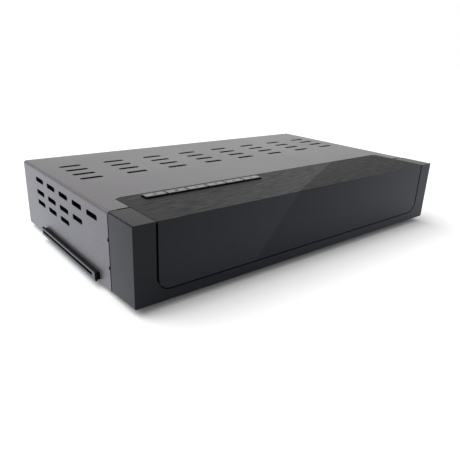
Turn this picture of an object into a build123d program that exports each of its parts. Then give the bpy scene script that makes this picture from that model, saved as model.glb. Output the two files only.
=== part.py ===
"""A compact satellite TV receiver, as an assembly of separate pieces.

Millimetres. X runs to the viewer's right, Y to the rear, Z up. The origin is the centre of the
whole receiver's footprint, on the surface that it stands on.
"""

from build123d import *
from math import cos, radians, sin
import os

# ---- case ----
body_width = 230.0  # over the side walls
body_depth = 139.0  # face of the bezel to the rear lip of the cover
body_height = 39.5  # underside of the chassis to the top of the cover
foot_height = 2.5
sheet = 0.8  # folded steel of the cover and the chassis
cover_bend = 1.6  # outer radius of the cover's long bends
slip_fit = 0.1  # where a sheet or moulding slides inside another
seam_gap = 0.8  # dark seam between the bezel and the cover
seam_step = 0.4  # the seam is wider by this beside the fascia
seam_step_start = 4.6
slot_frame_proud = 2.3  # the card slot frame stands out of the left wall
connector_reach = 9.5  # the aerial connectors stand out behind the case

# ---- cover ----
lip_drop = 6.5  # rear lip, folded down outside the rear panel
lip_bend = 0.6
top_vent_length = 13.2
top_vent_width = 3.2
top_vent_rows = 4
top_vent_pitch_x = 27.7
top_vent_pitch_y = 10.3
top_vent_front = 79.6  # first row, from the face of the bezel
top_vent_margin = 9.5  # least plain sheet beside the rows
side_vent_length = 12.0
side_vent_height = 2.8
side_vent_corner = 1.1
side_vent_pitch = 17.95
side_vent_rear = 21.4  # rear end of each row, from the rear of the cover
side_vent_front = 8.0  # least plain sheet in front of the top row
side_vent_heights = (32.9, 25.4, 19.1)  # each row is one slot shorter than the row above
slide_on = 1.8  # the cover drops on this far back, then slides forward
hook_notch_depth = 1.2
hook_notch_height = 1.8
hook_heights = (12.0, 25.8)
hook_reach = 0.6
screw_inset = 14.0  # outer cover screws, from the side walls

# ---- chassis and feet ----
flange_height = 9.0
chassis_bend = 1.4
floor_slot_rows = 3
floor_slot_columns = 4
floor_slot_pitch_x = 26.0
floor_slot_pitch_y = 11.0
floor_slot_x = 115.0
floor_slot_y = 66.0
foot_radius = 6.5
foot_taper = 0.8
foot_inset = 18.0

# ---- bezel ----
bezel_depth = 22.0
bezel_rise = 1.1  # the underside climbs by this from the seam to the face
bezel_wall = 2.0
bezel_edge = 0.6
tongue_reach = 4.5  # rim that slides inside the cover
tongue_wall = 1.6
shelf_thickness = 1.6  # carries the top of the fascia
backing_thickness = 2.0  # carries the front of the fascia

# ---- fascia ----
fascia_thickness = 1.8
fascia_margin = 11.0  # bezel left showing at each side
fascia_groove = 1.1  # at the sides of the front panel
fascia_low_groove = 0.6
fascia_top_gap = 0.4
fascia_bottom = 6.9
fascia_corner = 6.0
fascia_depth = 38.4
fascia_bevel_x = 3.3
fascia_bevel_y = 1.8

# ---- keys ----
key_names = ("standby_key", "menu_key", "left_key", "right_key", "down_key", "up_key")
key_width = 11.5
key_depth = 4.8
key_proud = 1.0
key_gap = 0.95
key_travel = 0.6
key_edge = 0.15
key_dish_rim = 0.3
key_dish = 0.1  # the top of each key is a little hollow
key_row_start = 23.9
key_row_rear = 3.6  # from the rear edge of the fascia to the keys
well_gap = 0.8
well_corner = 0.9
cap_floor_gap = 0.2  # left under the cap when it is pressed
stem_width = 5.0
stem_depth = 2.4
stem_clearance = 0.25
barb_reach = 0.5
barb_height = 1.0
barb_gap = 0.15
plunger_gap = 0.05  # left over the tact switch when the key is pressed
stem_below_shelf = 2.2
switch_body = 6.0
switch_height = 3.5
plunger_radius = 1.75
plunger_height = 0.8

# ---- boards ----
board_thickness = 1.6
key_board_depth = 12.0
key_board_overhang = 5.0
display_board_left = 100.0
display_board_right = 196.0
display_board_low = 4.0
display_board_high = 32.0
display_board_gap = 8.0  # from the bezel's backing wall
display_width = 42.0
display_height = 16.0
display_centre_x = 148.0
display_centre_z = 20.0
display_clearance = 0.6
eye_radius = 3.0
eye_centre_x = 180.0
eye_depth = 4.0
lamp_radius = 1.5
lamp_centre_x = 112.0
post_radius = 2.6
standoff_height = 5.4
standoff_radius = 3.0
main_board_left = 4.0
main_board_front = 28.0
main_rear_hole = 24.0  # rear posts of the main board, from the rear of the cover
supply_board_inset = 2.5  # from the right wall
supply_board_width = 44.5
supply_board_reach = 99.0  # front edge, from the rear of the cover
supply_rear_hole = 20.0
board_gap = 6.0  # between the two boards
board_edge_gap = 0.4
hole_inset = 4.5

# ---- rear connectors, heights from the top of the main board ----
panel_clearance = 0.3
aerial_radius = 4.7625  # three eighths of an inch, over the thread
aerial_neck = 4.5  # undercut through the rear panel and the nut
aerial_bore = 3.6
aerial_recess = 1.0
aerial_wall = 1.0
aerial_height = 8.5
aerial_first_x = 14.0
aerial_pitch = 18.0
aerial_nut = 11.0
aerial_nut_thickness = 2.0
centre_hole = 0.6
tuner_width = 37.0
tuner_depth = 20.0
tuner_height = 15.5
tuner_lid_inset = 1.6
tuner_lid_height = 0.6
network_width = 16.0
network_height = 13.4
network_depth = 21.0
network_port_width = 11.8
network_port_height = 7.4
network_port_depth = 12.0
latch_width = 6.0
latch_height = 2.4
stack_x = 51.5  # the network socket stands on the USB socket
usb_width = 14.4
usb_height = 7.0
usb_depth = 14.0
usb_port_width = 12.5
usb_port_height = 5.1
usb_tongue_width = 11.0
usb_tongue_thickness = 1.8
usb_port_depth = 12.0
hdmi_x = 69.6
hdmi_width = 15.2
hdmi_height = 6.4
hdmi_depth = 12.0
hdmi_port_width = 14.0
hdmi_port_height = 4.6
hdmi_chamfer = 1.5
hdmi_tongue_width = 10.6
hdmi_tongue_thickness = 1.1
hdmi_port_depth = 10.0
rca_x = 92.5
rca_pitch_x = 13.0
rca_pitch_z = 12.0
rca_lip_gap = 1.2  # from the upper barrels to the lip of the cover
rca_radius = 4.15
rca_wall = 0.55
rca_length = 8.0
rca_bore = 1.75
rca_housing_width = 25.0
rca_housing_wall = 1.5  # over the upper barrels
rca_housing_depth = 12.0
rca_insert_length = 7.4
scart_inset = 1.5  # from the right edge of the main board
scart_width = 47.0
scart_height = 15.5
scart_depth = 13.0
scart_rim = 1.3
scart_slant = 5.0
scart_well = 10.5
scart_core_width = 38.0
scart_core_height = 5.4
scart_contacts = 10
scart_contact_pitch = 3.7
scart_contact_width = 1.4
port_proud = 0.6  # the port shells stand out of the rear panel

# ---- card reader ----
slot_frame_front = 35.2
slot_frame_rear = 109.0
slot_frame_high = 5.7
slot_plate = 1.2  # outer plate of the frame
slot_neck_inset = 1.2  # neck behind the plate, at each end
slot_neck_drop = 0.6
slot_front = 38.6
slot_rear = 107.5
slot_low = 2.6
slot_high = 4.3
slot_frame_inner = 4.0  # the frame ends at the reader, inside the wall
slot_frame_edge = 0.4
slot_cut_clearance = 0.2
reader_width = 58.0
reader_length = 62.0
card_width = 54.6
card_gap = 1.0
card_travel = 50.0

# ---- power supply: places across are from the right wall, places back from the rear ----
mains_height = 10.5  # centre of the inlet and the switch, from the top of the board
inlet_inset = 33.0
inlet_width = 22.0
inlet_height = 13.0
inlet_depth = 18.0
inlet_flange = 1.5
inlet_flange_rim = 2.0
inlet_lobe_radius = 4.4
inlet_pin_pitch = 8.6
inlet_pin_radius = 1.2
inlet_well = 12.0
inlet_pin_length = 9.0
switch_inset = 10.5
switch_flange_width = 15.0
switch_flange_height = 21.0
switch_flange_thickness = 1.6
switch_case_width = 12.8
switch_case_height = 18.6
switch_case_depth = 15.0
rocker_width = 9.4
rocker_radius = 7.5
rocker_gap = 0.35
rocker_tilt = 10.0  # each way from level
rocker_slope = 12.0
rocker_apex = 1.4
rocker_root = 3.5
rocker_pivot_out = 0.2  # from the outer face of the rear panel
pivot_radius = 1.0
pivot_clearance = 0.05
pivot_length = 1.1
terminal_width = 4.8
terminal_thickness = 0.8
terminal_length = 7.0

# ---- fasteners ----
cover_screw_radius = 1.45
cover_screw_length = 4.5
screw_clearance = 0.25
thread_clearance = 0.04
screw_head_radius = 2.8
screw_head_height = 1.7
board_screw_radius = 1.2
board_screw_head = 2.2
board_screw_length = 5.0

# ---- parts on the main board: place across and back, then the size ----
chip_height = 1.4
chips = (
    (92.0, 80.0, 24.0, 24.0),
    (120.0, 84.0, 10.0, 14.0),
    (120.0, 66.0, 10.0, 14.0),
    (68.0, 84.0, 8.0, 6.0),
    (52.0, 52.0, 12.0, 8.0),
)
heat_sink_x = 92.0
heat_sink_y = 80.0
heat_sink_size = 28.0
heat_sink_height = 10.0
heat_sink_base = 2.0
fin_count = 7
fin_thickness = 1.2
signal_capacitor_radius = 3.15
signal_capacitor_height = 8.0
signal_capacitors = ((26.0, 60.0), (36.0, 72.0), (64.0, 40.0))
power_capacitor_radius = 4.0
power_capacitor_height = 11.0
power_capacitors = ((13.5, 52.0), (23.5, 52.0), (23.5, 66.0), (23.5, 84.0))  # from the right edge
capacitor_edge = 0.6
ribbon_x = 122.0
ribbon_height = 10.0
ribbon_header_y = 34.0
ribbon_bow = 7.0
ribbon_rise = 8.0
ribbon_bend = 2.4
ribbon_thickness = 0.9
ribbon_width = 16.0
header_height = 4.5
header_depth = 4.0
header_rim = 2.0
lead_y = 79.0  # from the rear
lead_width = 9.0

# ---- parts on the supply board ----
transformer_x = 27.0
transformer_y = 77.0
core_width = 26.0
core_depth = 9.0
core_height = 19.0
core_leg = 4.0
bobbin_foot = 2.5
winding_width = 17.0
winding_depth = 21.0
bulk_x = 38.5
bulk_y = 55.0
bulk_radius = 8.0
bulk_height = 25.0
output_x = 26.0
output_y = 93.5
output_pitch = 10.0
output_count = 3
output_radius = 4.0
output_height = 12.5
sink_x = 23.0
sink_y = 51.0
sink_length = 24.0
sink_height = 24.0
sink_fins = 5
sink_fin_reach = 8.0
transistor_width = 10.0
transistor_thickness = 4.5
transistor_height = 18.0
filter_x = 40.0
filter_y = 35.0
filter_core_width = 4.0
filter_core_depth = 15.0
filter_height = 15.0
filter_winding_radius = 5.5
filter_winding_length = 13.0
fuse_x = 9.5
fuse_y = 36.0
fuse_radius = 2.5
fuse_length = 20.0
fuse_clip_height = 4.5
fuse_clip_length = 4.0
wire_radius = 1.1
wire_reach = 5.0
wire_bend = 3.0

# ---- frame lines worked out from the sizes above ----
left_x = (slot_frame_proud - body_width) / 2
right_x = left_x + body_width
mid_x = (left_x + right_x) / 2
front_y = -(body_depth + connector_reach) / 2
rear_y = front_y + body_depth
under_z = foot_height
roof_z = under_z + body_height
panel_y = rear_y - sheet  # outer face of the rear panel
panel_inner_y = panel_y - sheet
seam_y = front_y + bezel_depth
cover_front_y = seam_y + seam_gap
inner_left_x = left_x + sheet + slip_fit
inner_right_x = right_x - sheet - slip_fit
floor_z = under_z + sheet
fascia_half = body_width / 2 - fascia_margin - fascia_top_gap
front_half = body_width / 2 - fascia_margin - fascia_groove
recess_half = body_width / 2 - fascia_margin
shelf_z = roof_z - fascia_thickness
shelf_under_z = shelf_z - shelf_thickness
backing_y = front_y + fascia_thickness
wall_back_y = backing_y + backing_thickness
board_z = floor_z + standoff_height
board_top_z = board_z + board_thickness
key_pitch = key_width + key_gap
key_y = front_y + fascia_depth - key_row_rear - key_depth / 2
key_xs = [left_x + key_row_start + key_width / 2 + key_pitch * i for i in range(len(key_names))]
stem_foot_z = shelf_under_z - stem_below_shelf
key_board_top_z = stem_foot_z - key_travel - plunger_gap - plunger_height - switch_height
display_board_y = wall_back_y + display_board_gap
board_rear_y = panel_inner_y - board_edge_gap
supply_right_x = right_x - supply_board_inset
supply_left_x = supply_right_x - supply_board_width
main_right_x = supply_left_x - board_gap


def across(distance):
    """X of a point so far from the outside of the left wall."""
    return left_x + distance


def back(distance):
    """Y of a point so far behind the face of the bezel."""
    return front_y + distance


def from_right(distance):
    """X of a point so far inside the outside of the right wall."""
    return right_x - distance


def from_rear(distance):
    """Y of a point so far in front of the rear of the cover."""
    return rear_y - distance


def up(distance):
    """Z of a point so far above the underside of the chassis."""
    return under_z + distance


def block(x_span, y_span, z_span, mode=Mode.ADD):
    """A box between two limits along each axis."""
    spans = (x_span, y_span, z_span)
    with Locations(tuple((low + high) / 2 for low, high in spans)):
        Box(*(high - low for low, high in spans), mode=mode)


def around(centre, size):
    """The two limits of a size that is centred on a place."""
    return (centre - size / 2, centre + size / 2)


def keep(builder, label):
    """Name a finished piece and write it."""
    builder.part.label = label
    export_step(builder.part, f"parts/{label}.step")


def upright(y):
    """An upright sketch plane across the case, with Z up. Its normal points to the front."""
    return Plane.XZ.offset(-y)


os.makedirs("parts", exist_ok=True)

# ---- cover: one folded sheet with slots, a notch for the fascia and a rear lip ----
with BuildPart() as top_cover:
    with BuildSketch(upright(cover_front_y)):
        with Locations((mid_x, (under_z + roof_z) / 2)):
            outline = Rectangle(body_width, body_height)
        fillet(outline.vertices().group_by(Axis.Y)[-1], cover_bend)
    extrude(amount=-(rear_y - cover_front_y))
    with BuildSketch(upright(cover_front_y)):
        with Locations((mid_x, (under_z + roof_z - sheet) / 2)):
            hollow = Rectangle(body_width - 2 * sheet, body_height - sheet)
        fillet(hollow.vertices().group_by(Axis.Y)[-1], cover_bend - sheet)
    extrude(amount=-(rear_y - cover_front_y), mode=Mode.SUBTRACT)
    block(
        (left_x + cover_bend, right_x - cover_bend),
        (panel_y, rear_y),
        (roof_z - lip_drop, roof_z - sheet / 2),
    )
    rear_edge = top_cover.edges().filter_by(Axis.X).group_by(Axis.Y)[-1].sort_by(Axis.Z)[-1]
    fillet(rear_edge, lip_bend)
    # notch that the fascia fills
    notch_half = recess_half
    notch_rear = back(fascia_depth + fascia_top_gap)
    with BuildSketch(Plane.XY.offset(roof_z)):
        with BuildLine():
            Polyline(
                (mid_x - notch_half, cover_front_y),
                (mid_x - notch_half, notch_rear - fascia_bevel_y),
                (mid_x - notch_half + fascia_bevel_x, notch_rear),
                (mid_x + notch_half - fascia_bevel_x, notch_rear),
                (mid_x + notch_half, notch_rear - fascia_bevel_y),
                (mid_x + notch_half, cover_front_y),
                close=True,
            )
        make_face()
    extrude(amount=-2 * sheet, mode=Mode.SUBTRACT)
    # the front edge steps back a little between each bend and the notch
    for side in (-1, 1):
        step_from = mid_x + side * notch_half
        step_to = mid_x + side * (body_width / 2 - seam_step_start)
        block(
            (min(step_from, step_to), max(step_from, step_to)),
            (cover_front_y, cover_front_y + seam_step),
            (roof_z - 2 * sheet, roof_z),
            mode=Mode.SUBTRACT,
        )
    # top slots, as many across as the sheet has room for
    plain_width = body_width - 2 * top_vent_margin - top_vent_length
    top_vent_columns = int(plain_width / top_vent_pitch_x) + 1
    vent_mid_y = back(top_vent_front + top_vent_pitch_y * (top_vent_rows - 1) / 2)
    with BuildSketch(Plane.XY.offset(roof_z)):
        with Locations((mid_x, vent_mid_y)):
            with GridLocations(top_vent_pitch_x, top_vent_pitch_y, top_vent_columns, top_vent_rows):
                SlotOverall(top_vent_length, top_vent_width)
    extrude(amount=-2 * sheet, mode=Mode.SUBTRACT)
    # side slots, punched through both walls alike
    first_slot_y = from_rear(side_vent_rear + side_vent_length / 2)
    plain_depth = first_slot_y - side_vent_length / 2 - cover_front_y - side_vent_front
    longest_row = int(plain_depth / side_vent_pitch) + 1
    with BuildSketch(Plane.YZ.offset(left_x)):
        for row, height in enumerate(side_vent_heights):
            for i in range(longest_row - row):
                with Locations((first_slot_y - side_vent_pitch * i, up(height))):
                    RectangleRounded(side_vent_length, side_vent_height, side_vent_corner)
    extrude(amount=body_width, mode=Mode.SUBTRACT)
    # card slot cut-out, open at the bottom edge and long enough at the front for the cover to slide on
    slot_cut_y = (
        back(slot_frame_front + slot_neck_inset - slot_cut_clearance - slide_on),
        back(slot_frame_rear - slot_neck_inset + slot_cut_clearance),
    )
    block(
        (left_x - sheet, left_x + 2 * sheet),
        slot_cut_y,
        (under_z - sheet, up(slot_frame_high - slot_neck_drop + slot_cut_clearance)),
        mode=Mode.SUBTRACT,
    )
    # notches that the bezel's hooks catch in
    for height in hook_heights:
        block(
            (left_x - sheet, right_x + sheet),
            (cover_front_y, cover_front_y + hook_notch_depth),
            around(up(height), hook_notch_height),
            mode=Mode.SUBTRACT,
        )
    # screw holes in the lip
    screw_xs = (left_x + screw_inset, mid_x, right_x - screw_inset)
    screw_z = roof_z - lip_drop / 2 - lip_bend
    with BuildSketch(upright(rear_y)):
        with Locations(*((x, screw_z) for x in screw_xs)):
            Circle(cover_screw_radius + screw_clearance)
    extrude(amount=sheet, mode=Mode.SUBTRACT)
keep(top_cover, "top_cover")

# ---- chassis: floor and rear panel in one folded sheet ----
main_holes = [
    (across(main_board_left + hole_inset), back(main_board_front + hole_inset)),
    (main_right_x - hole_inset, back(main_board_front + hole_inset)),
    (main_right_x - hole_inset, from_rear(main_rear_hole)),
    (across(hdmi_x), from_rear(main_rear_hole)),
]
supply_holes = [
    (x, y)
    for x in (supply_left_x + hole_inset, supply_right_x - hole_inset)
    for y in (from_rear(supply_board_reach - hole_inset), from_rear(supply_rear_hole))
]
aerial_xs = [across(aerial_first_x + aerial_pitch * i) for i in range(2)]
aerial_z = board_top_z + aerial_height
rca_upper_z = roof_z - lip_drop - rca_lip_gap - rca_radius
rca_places = [
    (across(rca_x) + side * rca_pitch_x / 2, z)
    for z in (rca_upper_z - rca_pitch_z, rca_upper_z)
    for side in (-1, 1)
]
network_z = board_top_z + usb_height
scart_x = main_right_x - scart_inset - scart_width / 2
inlet_x = from_right(inlet_inset)
switch_x = from_right(switch_inset)
mains_z = board_top_z + mains_height
with BuildPart() as chassis:
    with BuildSketch(Plane.YZ.offset(inner_left_x)):
        with BuildLine():
            Polyline(
                (cover_front_y, under_z),
                (panel_y, under_z),
                (panel_y, roof_z - sheet),
                (panel_inner_y, roof_z - sheet),
                (panel_inner_y, floor_z),
                (cover_front_y, floor_z),
                close=True,
            )
        make_face()
    extrude(amount=inner_right_x - inner_left_x)
    long_edges = chassis.edges().filter_by(Axis.X)
    fillet(long_edges.sort_by_distance((mid_x, panel_y, under_z))[0], chassis_bend)
    long_edges = chassis.edges().filter_by(Axis.X)
    fillet(long_edges.sort_by_distance((mid_x, panel_inner_y, floor_z))[0], chassis_bend - sheet)
    upper_corners = chassis.edges().filter_by(Axis.Y).group_by(Axis.Z)[-1]
    fillet(upper_corners, cover_bend - sheet + slip_fit)
    # side flanges
    flange_front = seam_y + tongue_reach + board_edge_gap
    for wall in ((inner_left_x, inner_left_x + sheet), (inner_right_x - sheet, inner_right_x)):
        block(wall, (flange_front, panel_inner_y), (floor_z, floor_z + flange_height))
    # the left flange is open where the card passes
    block(
        (inner_left_x - sheet, inner_left_x + sheet),
        slot_cut_y,
        (floor_z, floor_z + flange_height),
        mode=Mode.SUBTRACT,
    )
    # embossed posts under the boards
    with BuildSketch(Plane.XY.offset(floor_z)):
        with Locations(*main_holes, *supply_holes):
            Circle(standoff_radius)
    extrude(amount=standoff_height)
    with BuildSketch(Plane.XY.offset(board_z)):
        with Locations(*main_holes, *supply_holes):
            Circle(board_screw_radius + thread_clearance)
    extrude(amount=-(standoff_height + sheet), mode=Mode.SUBTRACT)
    # floor slots
    with BuildSketch(Plane.XY.offset(floor_z)):
        with Locations((across(floor_slot_x), back(floor_slot_y))):
            with GridLocations(
                floor_slot_pitch_x, floor_slot_pitch_y, floor_slot_columns, floor_slot_rows
            ):
                SlotOverall(top_vent_length, top_vent_width)
    extrude(amount=-sheet, mode=Mode.SUBTRACT)
    # rear panel openings, each the connector's own outline and a clearance
    with BuildSketch(upright(panel_y)):
        with Locations(*((x, aerial_z) for x in aerial_xs)):
            Circle(aerial_neck + panel_clearance)
        with Locations(*rca_places):
            Circle(rca_radius - rca_wall + panel_clearance)
        for x, z, width, height in (
            (across(stack_x), network_z, network_width, network_height),
            (across(stack_x), board_top_z, usb_width, usb_height),
            (across(hdmi_x), board_top_z, hdmi_width, hdmi_height),
            (scart_x, board_top_z, scart_width, scart_height),
        ):
            with Locations((x, z + height / 2)):
                Rectangle(width + 2 * panel_clearance, height + 2 * panel_clearance)
        with Locations((inlet_x, mains_z)):
            Rectangle(inlet_width + 2 * slip_fit, inlet_height + 2 * slip_fit)
        with Locations((switch_x, mains_z)):
            Rectangle(switch_case_width + 2 * slip_fit, switch_case_height + 2 * slip_fit)
        with Locations(*((x, screw_z) for x in screw_xs)):
            Circle(cover_screw_radius + thread_clearance)
    extrude(amount=sheet * 1.5, both=True, mode=Mode.SUBTRACT)
keep(chassis, "chassis")

# ---- feet ----
foot_places = {
    "foot_front_left": (left_x + foot_inset, front_y + bezel_depth + foot_inset / 2),
    "foot_front_right": (right_x - foot_inset, front_y + bezel_depth + foot_inset / 2),
    "foot_rear_left": (left_x + foot_inset, rear_y - foot_inset),
    "foot_rear_right": (right_x - foot_inset, rear_y - foot_inset),
}
for label, (x, y) in foot_places.items():
    with BuildPart() as foot:
        with Locations((x, y, 0)):
            Cone(
                foot_radius - foot_taper,
                foot_radius,
                foot_height,
                align=(Align.CENTER, Align.CENTER, Align.MIN),
            )
    keep(foot, label)

# ---- front bezel: a moulded shell with a recess for the fascia and a tongue into the cover ----
with BuildPart() as front_bezel:
    with BuildSketch(Plane.YZ.offset(mid_x)):
        with BuildLine():
            Polyline(
                (front_y, under_z + bezel_rise),
                (front_y, roof_z),
                (seam_y, roof_z),
                (seam_y, under_z),
                close=True,
            )
        make_face()
    extrude(amount=body_width / 2, both=True)
    fillet(front_bezel.edges().filter_by(lambda edge: edge.tangent_at(0.5).Y ** 2 > 0.5), bezel_edge)
    block(
        (left_x + bezel_wall, right_x - bezel_wall),
        (wall_back_y, seam_y),
        (under_z + bezel_rise + bezel_wall, shelf_under_z),
        mode=Mode.SUBTRACT,
    )
    # tongue that slides inside the cover and over the chassis floor
    tongue_x = (inner_left_x, inner_right_x)
    tongue_z = (floor_z, roof_z - sheet - slip_fit)
    with BuildSketch(upright(seam_y)):
        with Locations((sum(tongue_x) / 2, sum(tongue_z) / 2)):
            rim = Rectangle(tongue_x[1] - tongue_x[0], tongue_z[1] - tongue_z[0])
        fillet(rim.vertices().group_by(Axis.Y)[-1], cover_bend - sheet + slip_fit)
        offset(amount=-tongue_wall, mode=Mode.SUBTRACT)
    extrude(amount=-tongue_reach)
    # hooks on the tongue
    for side_x, reach in ((inner_left_x, -hook_reach), (inner_right_x, hook_reach)):
        for height in hook_heights:
            block(
                tuple(sorted((side_x, side_x + reach))),
                (seam_y + seam_gap + slip_fit, cover_front_y + hook_notch_depth - slip_fit),
                around(up(height), hook_notch_height - 2 * slip_fit),
            )
    # shelf that carries the fascia's top, with bevelled rear corners
    with BuildSketch(Plane.XY.offset(shelf_z)):
        with Locations((mid_x, (wall_back_y + back(fascia_depth)) / 2)):
            shelf = Rectangle(2 * recess_half - 2 * fascia_top_gap, back(fascia_depth) - wall_back_y)
        chamfer(shelf.vertices().group_by(Axis.Y)[-1], fascia_bevel_y)
    extrude(amount=-shelf_thickness)
    # recess for the fascia's top and for its front
    block(
        (mid_x - recess_half, mid_x + recess_half),
        (front_y - slip_fit, back(fascia_depth + fascia_top_gap)),
        (shelf_z, roof_z + slip_fit),
        mode=Mode.SUBTRACT,
    )
    with BuildSketch(upright(front_y)):
        recess_low = up(fascia_bottom - fascia_low_groove)
        with Locations((mid_x, (recess_low + roof_z) / 2)):
            recess = Rectangle(2 * recess_half, roof_z - recess_low)
        fillet(recess.vertices().group_by(Axis.Y)[0], fascia_corner + fascia_groove)
    extrude(amount=-fascia_thickness, mode=Mode.SUBTRACT)
    # windows for the display, the remote control's eye and the standby lamp
    with BuildSketch(upright(backing_y)):
        with Locations((across(display_centre_x), up(display_centre_z))):
            Rectangle(display_width, display_height)
        with Locations((across(eye_centre_x), up(display_centre_z))):
            Circle(eye_radius + display_clearance)
        with Locations((across(lamp_centre_x), up(display_centre_z))):
            Circle(lamp_radius + display_clearance)
    extrude(amount=-backing_thickness, mode=Mode.SUBTRACT)
    # key stem holes
    with BuildSketch(Plane.XY.offset(shelf_z)):
        with Locations(*((x, key_y) for x in key_xs)):
            Rectangle(stem_width + 2 * stem_clearance, stem_depth + 2 * stem_clearance)
    extrude(amount=-shelf_thickness, mode=Mode.SUBTRACT)
    # posts for the key board, between the keys, and for the display board
    key_post_xs = [(key_xs[0] + key_xs[1]) / 2, (key_xs[-1] + key_xs[-2]) / 2]
    with BuildSketch(Plane.XY.offset(shelf_under_z)):
        with Locations(*((x, key_y) for x in key_post_xs)):
            Circle(post_radius)
    extrude(amount=-(shelf_under_z - key_board_top_z))
    with BuildSketch(Plane.XY.offset(key_board_top_z)):
        with Locations(*((x, key_y) for x in key_post_xs)):
            Circle(board_screw_radius + thread_clearance)
    extrude(amount=shelf_under_z - key_board_top_z, mode=Mode.SUBTRACT)
    display_post_xs = (
        across(display_board_left + hole_inset),
        across(display_board_right - hole_inset),
    )
    display_post_z = up(display_board_low + hole_inset)
    with BuildSketch(upright(wall_back_y)):
        with Locations(*((x, display_post_z) for x in display_post_xs)):
            Circle(post_radius)
    extrude(amount=-display_board_gap)
    with BuildSketch(upright(display_board_y)):
        with Locations(*((x, display_post_z) for x in display_post_xs)):
            Circle(board_screw_radius + thread_clearance)
    extrude(amount=display_board_gap, mode=Mode.SUBTRACT)
keep(front_bezel, "front_bezel")

# ---- fascia: brushed top and gloss front, mitred along the sharp front edge ----
well_left = key_xs[0] - key_width / 2 - well_gap
well_right = key_xs[-1] + key_width / 2 + well_gap
with BuildPart() as fascia_top:
    with BuildSketch(Plane.XY.offset(shelf_z)):
        with BuildLine():
            Polyline(
                (mid_x - fascia_half, front_y),
                (mid_x - fascia_half, back(fascia_depth - fascia_bevel_y)),
                (mid_x - fascia_half + fascia_bevel_x, back(fascia_depth)),
                (mid_x + fascia_half - fascia_bevel_x, back(fascia_depth)),
                (mid_x + fascia_half, back(fascia_depth - fascia_bevel_y)),
                (mid_x + fascia_half, front_y),
                close=True,
            )
        make_face()
        with Locations(((well_left + well_right) / 2, key_y)):
            RectangleRounded(
                well_right - well_left,
                key_depth + 2 * well_gap,
                well_corner,
                mode=Mode.SUBTRACT,
            )
    extrude(amount=fascia_thickness)
    with BuildSketch(Plane.YZ.offset(mid_x)):
        with BuildLine():
            Polyline(
                (front_y, roof_z),
                (front_y, shelf_z),
                (backing_y, shelf_z),
                close=True,
            )
        make_face()
    extrude(amount=body_width / 2, both=True, mode=Mode.SUBTRACT)
keep(fascia_top, "fascia_top")

with BuildPart() as fascia_front:
    with BuildSketch(upright(front_y)):
        with Locations((mid_x, (up(fascia_bottom) + roof_z) / 2)):
            panel = Rectangle(2 * front_half, roof_z - up(fascia_bottom))
        fillet(panel.vertices().group_by(Axis.Y)[0], fascia_corner)
    extrude(amount=-fascia_thickness)
    with BuildSketch(Plane.YZ.offset(mid_x)):
        with BuildLine():
            Polyline(
                (front_y, roof_z),
                (backing_y, roof_z),
                (backing_y, shelf_z),
                close=True,
            )
        make_face()
    extrude(amount=body_width / 2, both=True, mode=Mode.SUBTRACT)
keep(fascia_front, "fascia_front")

# ---- keys: a cap in the well, a stem through the shelf and a barbed foot under it ----
cap_bottom_z = shelf_z + key_travel + cap_floor_gap
for label, x in zip(key_names, key_xs):
    with BuildPart() as key:
        with BuildSketch(Plane.XY.offset(cap_bottom_z)):
            with Locations((x, key_y)):
                Rectangle(key_width, key_depth)
        extrude(amount=roof_z + key_proud - cap_bottom_z)
        fillet(key.faces().sort_by(Axis.Z)[-1].edges(), key_edge)
        with BuildSketch(Plane.XY.offset(roof_z + key_proud)):
            with Locations((x, key_y)):
                Rectangle(key_width - 2 * key_dish_rim, key_depth - 2 * key_dish_rim)
        extrude(amount=-key_dish, mode=Mode.SUBTRACT)
        with BuildSketch(Plane.XY.offset(cap_bottom_z)):
            with Locations((x, key_y)):
                Rectangle(stem_width, stem_depth)
        extrude(amount=stem_foot_z - cap_bottom_z)
        barb_top = shelf_under_z - barb_gap
        with BuildSketch(Plane.XZ.offset(-key_y)):
            with BuildLine():
                Polyline(
                    (x - stem_width / 2, barb_top - barb_height),
                    (x - stem_width / 2 - barb_reach, barb_top),
                    (x + stem_width / 2 + barb_reach, barb_top),
                    (x + stem_width / 2, barb_top - barb_height),
                    close=True,
                )
            make_face()
        extrude(amount=stem_depth / 2, both=True)
    keep(key, label)

# ---- key board and its tact switches ----
with BuildPart() as key_board:
    with BuildSketch(Plane.XY.offset(key_board_top_z)):
        with Locations(((key_xs[0] + key_xs[-1]) / 2, key_y)):
            Rectangle(key_xs[-1] - key_xs[0] + key_width + 2 * key_board_overhang, key_board_depth)
        with Locations(*((x, key_y) for x in key_post_xs)):
            Circle(board_screw_radius + thread_clearance, mode=Mode.SUBTRACT)
    extrude(amount=-board_thickness)
keep(key_board, "key_board")

with BuildPart() as tact_switches:
    with BuildSketch(Plane.XY.offset(key_board_top_z)):
        with Locations(*((x, key_y) for x in key_xs)):
            Rectangle(switch_body, switch_body)
    extrude(amount=switch_height)
    with BuildSketch(Plane.XY.offset(key_board_top_z + switch_height)):
        with Locations(*((x, key_y) for x in key_xs)):
            Circle(plunger_radius)
    extrude(amount=plunger_height)
keep(tact_switches, "tact_switches")

# ---- display board with the display, the eye and the lamp ----
with BuildPart() as display_board:
    with BuildSketch(upright(display_board_y)):
        board_mid_x = across((display_board_left + display_board_right) / 2)
        board_mid_z = up((display_board_low + display_board_high) / 2)
        with Locations((board_mid_x, board_mid_z)):
            Rectangle(
                display_board_right - display_board_left,
                display_board_high - display_board_low,
            )
        with Locations(*((x, display_post_z) for x in display_post_xs)):
            Circle(board_screw_radius + thread_clearance, mode=Mode.SUBTRACT)
    extrude(amount=-board_thickness)
keep(display_board, "display_board")

with BuildPart() as display_module:
    block(
        around(across(display_centre_x), display_width - 2 * display_clearance),
        (backing_y + display_clearance, display_board_y),
        around(up(display_centre_z), display_height - 2 * display_clearance),
    )
keep(display_module, "display_module")

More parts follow.
